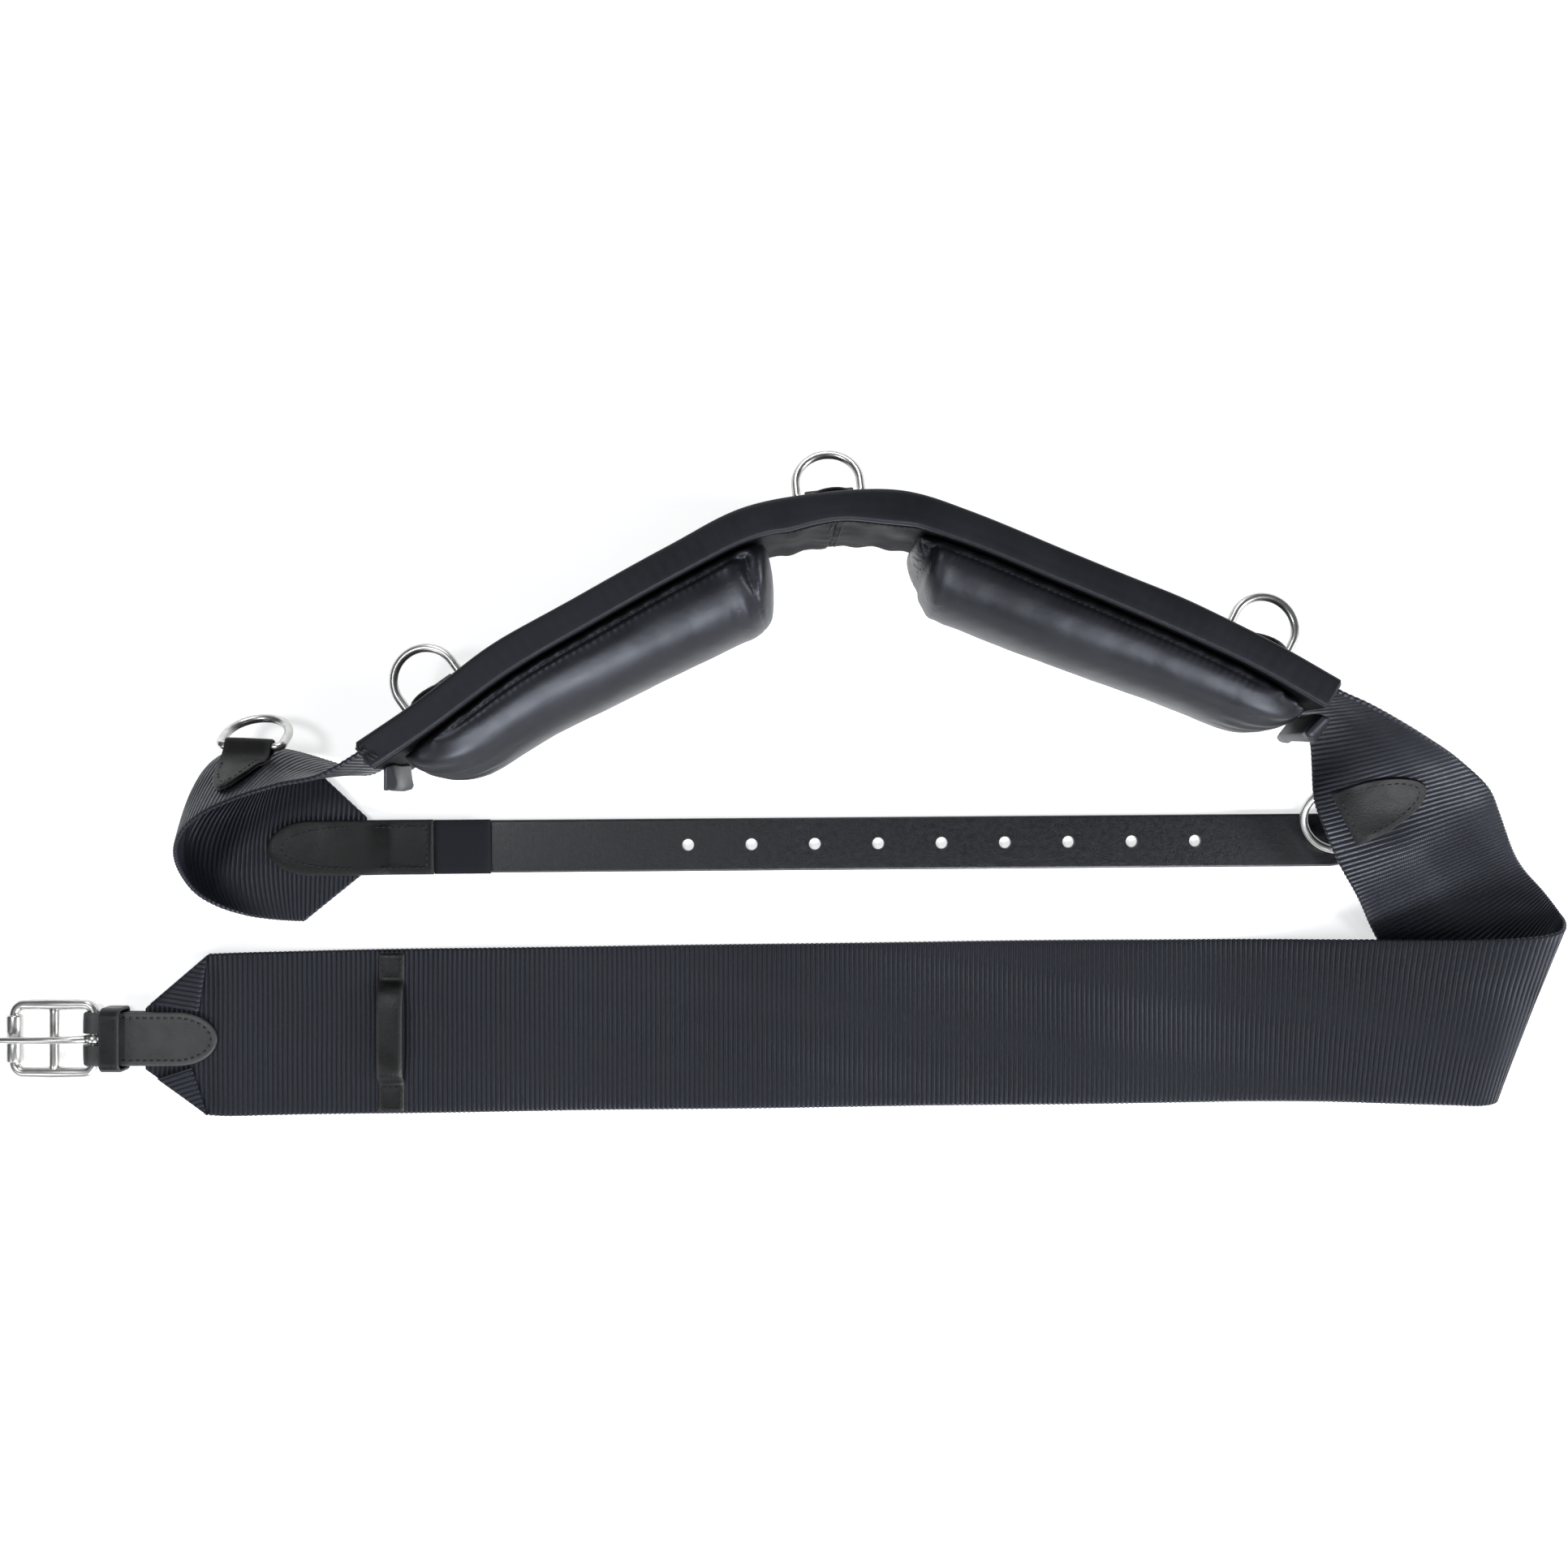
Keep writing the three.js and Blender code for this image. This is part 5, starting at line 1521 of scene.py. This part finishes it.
def build_web_keeper():
    low, thickness = 3.1, 1.8
    line = [(-101, low), (-112, low), (-118, low), (-123, low + 4.6), (-129, low + 6.2), (-148, low + 6.7)]
    line += [(-168, low + 6.2), (-174, low + 4.6), (-179, low), (-185, low), (-196, low)]
    path = rounded_path([(WEB_KEEPER_X, y, z + thickness / 2) for y, z in line])
    strap = Strap(path, (1, 0, 0), WEB_KEEPER_HALF_WIDTH, thickness, crown=0.3, step=1.5, edge_thin=0.2)
    strap.made("web_keeper_loop", KEEPER_LOOK, "web_keeper", border=1.8)
    thread = Stitches(0.38, 2.4, 1.1)
    for low_u, high_u in ((1.8, 14.5), (strap.length - 14.5, strap.length - 1.8)):
        box = [(low_u, -5.6), (high_u, -5.6), (high_u, 5.6), (low_u, 5.6), (low_u, -5.6)]
        for first, last in zip(box, box[1:]):
            strap.sew(thread, np.linspace(first, last, 12))
    thread.piece("web_keeper_stitches")


def build_chape():
    """The chape: one strip folded round the buckle's bar, slotted for the tongue, its tip over the web."""
    thickness = 2.8
    low = 2.6 + thickness / 2
    high = 9.1 + thickness / 2
    radius = 3.4 + thickness / 2
    angle = np.linspace(-math.pi / 2, -3 * math.pi / 2, 18)
    fold = [(BUCKLE_X + radius * math.cos(a), 0, BUCKLE_Z + radius * math.sin(a)) for a in angle]
    first = [(CHAPE_TIP_X, 0, low), (-380, 0, low), (BUCKLE_X + 9, 0, low)]
    last = [(BUCKLE_X + 9, 0, high + 0.6), *[(x, 0, high) for x in (-392, -380, -350, CHAPE_TIP_X)]]
    path = np.vstack([first, fold, last])

    def put(points):
        return np.asarray(points) + np.array([0, BUCKLE_Y, 0])

    strap = Strap(
        path, (0, 1, 0), CHAPE_HALF_WIDTH, thickness, ends=(24, 24), crown=0.25, step=1.5, edge_thin=0.2,
        place_points=put,
    )
    piece = strap.mesh("buckle_chape_leather", border=3.0, columns=13)
    corners = [(-1, -1), (1, -1), (1, 1), (-1, 1)]
    rings = [[(BUCKLE_X - 1.5 + 10.5 * x, BUCKLE_Y + 3.6 * y, z) for x, y in corners] for z in (-5, 30)]
    cut(piece, [ring_mesh("cutter_slot", rings)])
    place(piece, "surcingle", "leather", BUCKLE_LEATHER_LOOK, "buckle_chape")
    thread = Stitches(0.5, 2.1, 2.0)
    near = strap.length - (CHAPE_TIP_X - BUCKLE_X) + 15
    strap.sew(thread, strap.around(3.4, near))
    thread.piece("buckle_chape_stitches")


def build_buckle_keeper():
    """A leather loop round the chape behind the buckle."""
    half, low, high = 18.2, 1.5, 18.4
    corner, foot = 4.6, 2
    rounds = [
        (half - corner, high - corner, corner),
        (corner - half, high - corner, corner),
        (foot - half, low + foot, foot),
        (half - foot, low + foot, foot),
    ]
    path = []
    for turn, (y, z, radius) in enumerate(rounds):
        for a in np.linspace(0, math.pi / 2, 8) + turn * math.pi / 2:
            path.append((BUCKLE_X + 13, y + radius * math.cos(a), z + radius * math.sin(a)))
    path = np.array(path + path[:1])
    path[:, 2] += 0.9 * (1 - (path[:, 1] / half) ** 2) * (path[:, 2] > 10)
    path[:, 1] += BUCKLE_Y
    strap = Strap(path, (-1, 0, 0), 6.0, 1.9, crown=0.35, step=1.2, looped=True)
    strap.made("buckle_keeper_loop", KEEPER_LOOK, "buckle_keeper", "sliding_keeper", border=1.4)


def in_buckle(points):
    return np.asarray(points, float) + np.array([BUCKLE_X, BUCKLE_Y, BUCKLE_Z])


def rounded_frame(half, corner, far):
    """The middle of the frame's wire: from the chape's bar round by the far bar and back."""
    inner = half - corner
    far_in = far + corner
    path = np.vstack([
        np.linspace((0, -inner), (0, inner), 14),
        arc(-corner, inner, corner, 0, 90, 9),
        run((-corner, half), (far_in, half), 16),
        arc(far_in, inner, corner, 90, 180, 9),
        run((far, inner), (far, -inner), 14),
        arc(far_in, -inner, corner, 180, 270, 9),
        run((far_in, -half), (-corner, -half), 16),
        arc(-corner, -inner, corner, 270, 360, 9)[:-1],
    ])
    return np.column_stack([path, np.zeros(len(path))])


def build_buckle():
    """A double-bar frame with a roller and a tongue."""
    half, far = BUCKLE_WIDTH / 2, -BUCKLE_LENGTH
    path = rounded_frame(half, BUCKLE_CORNER, far)
    on_side = smoothstep(np.abs(path[:, 1]), half - 4, half)
    radius = BUCKLE_WIRE + 0.5 * on_side * bump(path[:, 0], far / 2, 13)
    frame_piece = wire("buckle_frame_bright", in_buckle(path), radius, 22)
    bar_path = in_buckle([(far / 2, y, 0) for y in np.linspace(-half, half, 9)])
    bar = wire("buckle_bar", bar_path, 2.9, 20, looped=False)
    place(frame_piece, "buckle", "nickel", NICKEL, "buckle_frame")
    place(bar, "buckle", "nickel", NICKEL)

    ends = [(14, 3.35), (14, 4.2), (13.7, 4.7), (13, 4.9), (4, 4.9), (3.4, 4.75)]
    ends = [(-y, r) for y, r in ends] + ends[::-1]
    place(lathe("buckle_roller_tube", ends, far), "roller", "nickel", NICKEL, "buckle_roller")

    eye = [(2.3, 3.35), (2.3, 5.0), (1.8, 5.5)]
    eye = [(-y, r) for y, r in eye] + eye[::-1]
    place(lathe("buckle_tongue_eye", eye, 0), "tongue", "nickel", NICKEL)
    line = [(-3.6, 0, 3.9), (-12, 0, 6.6), (-23.75, 0, 8.1), (-36, 0, 8.3), (-47.5, 0, 7.9)]
    line += [(-56, 0, 7.0), (-62, 0, 5.9)]
    path = rounded_path(line)
    share = lengths_along(path) / lengths_along(path)[-1]
    tip = np.sqrt(np.clip(1 - ((share - 0.965).clip(0) / 0.036) ** 2, 0.04, 1))
    radius = 2.3 * (1 - 0.18 * share) * tip
    pin = wire("buckle_tongue_pin", in_buckle(path), radius, 18, looped=False, flat_normal=(0, 1, 0))
    place(pin, "tongue", "nickel", NICKEL, "buckle_tongue")


def lathe(name, profile, x):
    """A closed turned tube round the buckle's cross line at x, from (y, radius) points."""
    profile = np.array([*profile, *[(y, 3.3) for y, _ in (profile[-1], profile[0])]])
    angle = np.arange(40) / 40 * 2 * math.pi
    rings = np.stack(
        [
            x + profile[None, :, 1] * np.cos(angle)[:, None],
            np.repeat(profile[None, :, 0], 40, axis=0),
            profile[None, :, 1] * np.sin(angle)[:, None],
        ],
        axis=-1,
    )
    piece = ring_mesh(name, in_buckle(rings), looped=True)
    piece.data.set_sharp_from_angle(angle=math.radians(50))
    return piece


# ------------------------------------------------------------------ the scene

SENSOR_WIDTH = 36
CAMERA_HEIGHT = 1.0
HALF_VIEW = 0.4714
FLOOR_HALF_SIZE = 4000
FLOOR_DROP = 0.05


def build_floor():
    low = CAD_BOX[0][2] * 1000 - FLOOR_DROP
    mesh = bpy.data.meshes.new("floor")
    corners = [(x * FLOOR_HALF_SIZE, y * FLOOR_HALF_SIZE) for x, y in ((-1, -1), (1, -1), (1, 1), (-1, 1))]
    mesh.from_pydata([(x / 1000, y / 1000, low / 1000) for x, y in corners], [], [(0, 1, 2, 3)])
    floor = add_object("floor", mesh)
    floor.data.materials.append(floor_material())


def add_light(name, place_at, aim, size, power, tint=(1, 1, 1)):
    lamp = bpy.data.lights.new(name, "AREA")
    lamp.shape = "DISK"
    lamp.size = size
    lamp.energy = power
    lamp.color = tint
    made = add_object(name, lamp)
    made.location = place_at
    made.rotation_euler = (Vector(aim) - Vector(place_at)).to_track_quat("-Z", "Y").to_euler()


def build_lights():
    cool = (0.95, 0.975, 1.0)
    add_light("key", (0.42, -1.65, 1.15), (0, -0.05, 0), 1.0, 49, cool)
    add_light("front_left", (-1.3, -1.2, 1.3), (-0.1, 0, 0), 0.8, 7, cool)
    add_light("left_top", (-0.57, 0.08, 1.15), (-0.27, 0.03, 0), 0.22, 3.5, cool)
    add_light("right_top", (0.85, -0.2, 1.15), (0.38, -0.08, 0), 0.3, 0.8, cool)
    add_light("right", (1.9, -0.3, 0.9), (0.1, -0.1, 0), 0.6, 24, cool)
    add_light("back", (-0.2, 1.9, 1.2), (0, 0.1, 0), 0.8, 16)
    world = bpy.data.worlds.new("studio")
    world.use_nodes = True
    world.node_tree.nodes["Background"].inputs["Color"].default_value = (0.95, 0.97, 1.0, 1)
    world.node_tree.nodes["Background"].inputs["Strength"].default_value = 0.07
    bpy.context.scene.world = world
    bpy.context.scene.view_settings.view_transform = "Standard"


def build_camera():
    """Straight above the plan's origin, 1 m over the floor."""
    camera = bpy.data.cameras.new("overhead_camera")
    camera.sensor_width = SENSOR_WIDTH
    camera.lens = SENSOR_WIDTH / 2 / HALF_VIEW * CAMERA_HEIGHT
    camera.clip_start = 0.01
    made = add_object("overhead_camera", camera)
    made.location = (ORIGIN[0] / 1000, ORIGIN[1] / 1000, CAMERA_HEIGHT)
    bpy.context.scene.camera = made


WEBS = {"short_web": (SHORT_WEB, SHORT_WEB_TIP), "long_web": (LONG_WEB, LONG_WEB_TIP)}

build_camera()
build_backing()
build_pads()
webs = build_webbing()
build_rings(webs)
build_billet()
build_web_keeper()
build_chape()
build_buckle_keeper()
build_buckle()
build_floor()
build_lights()
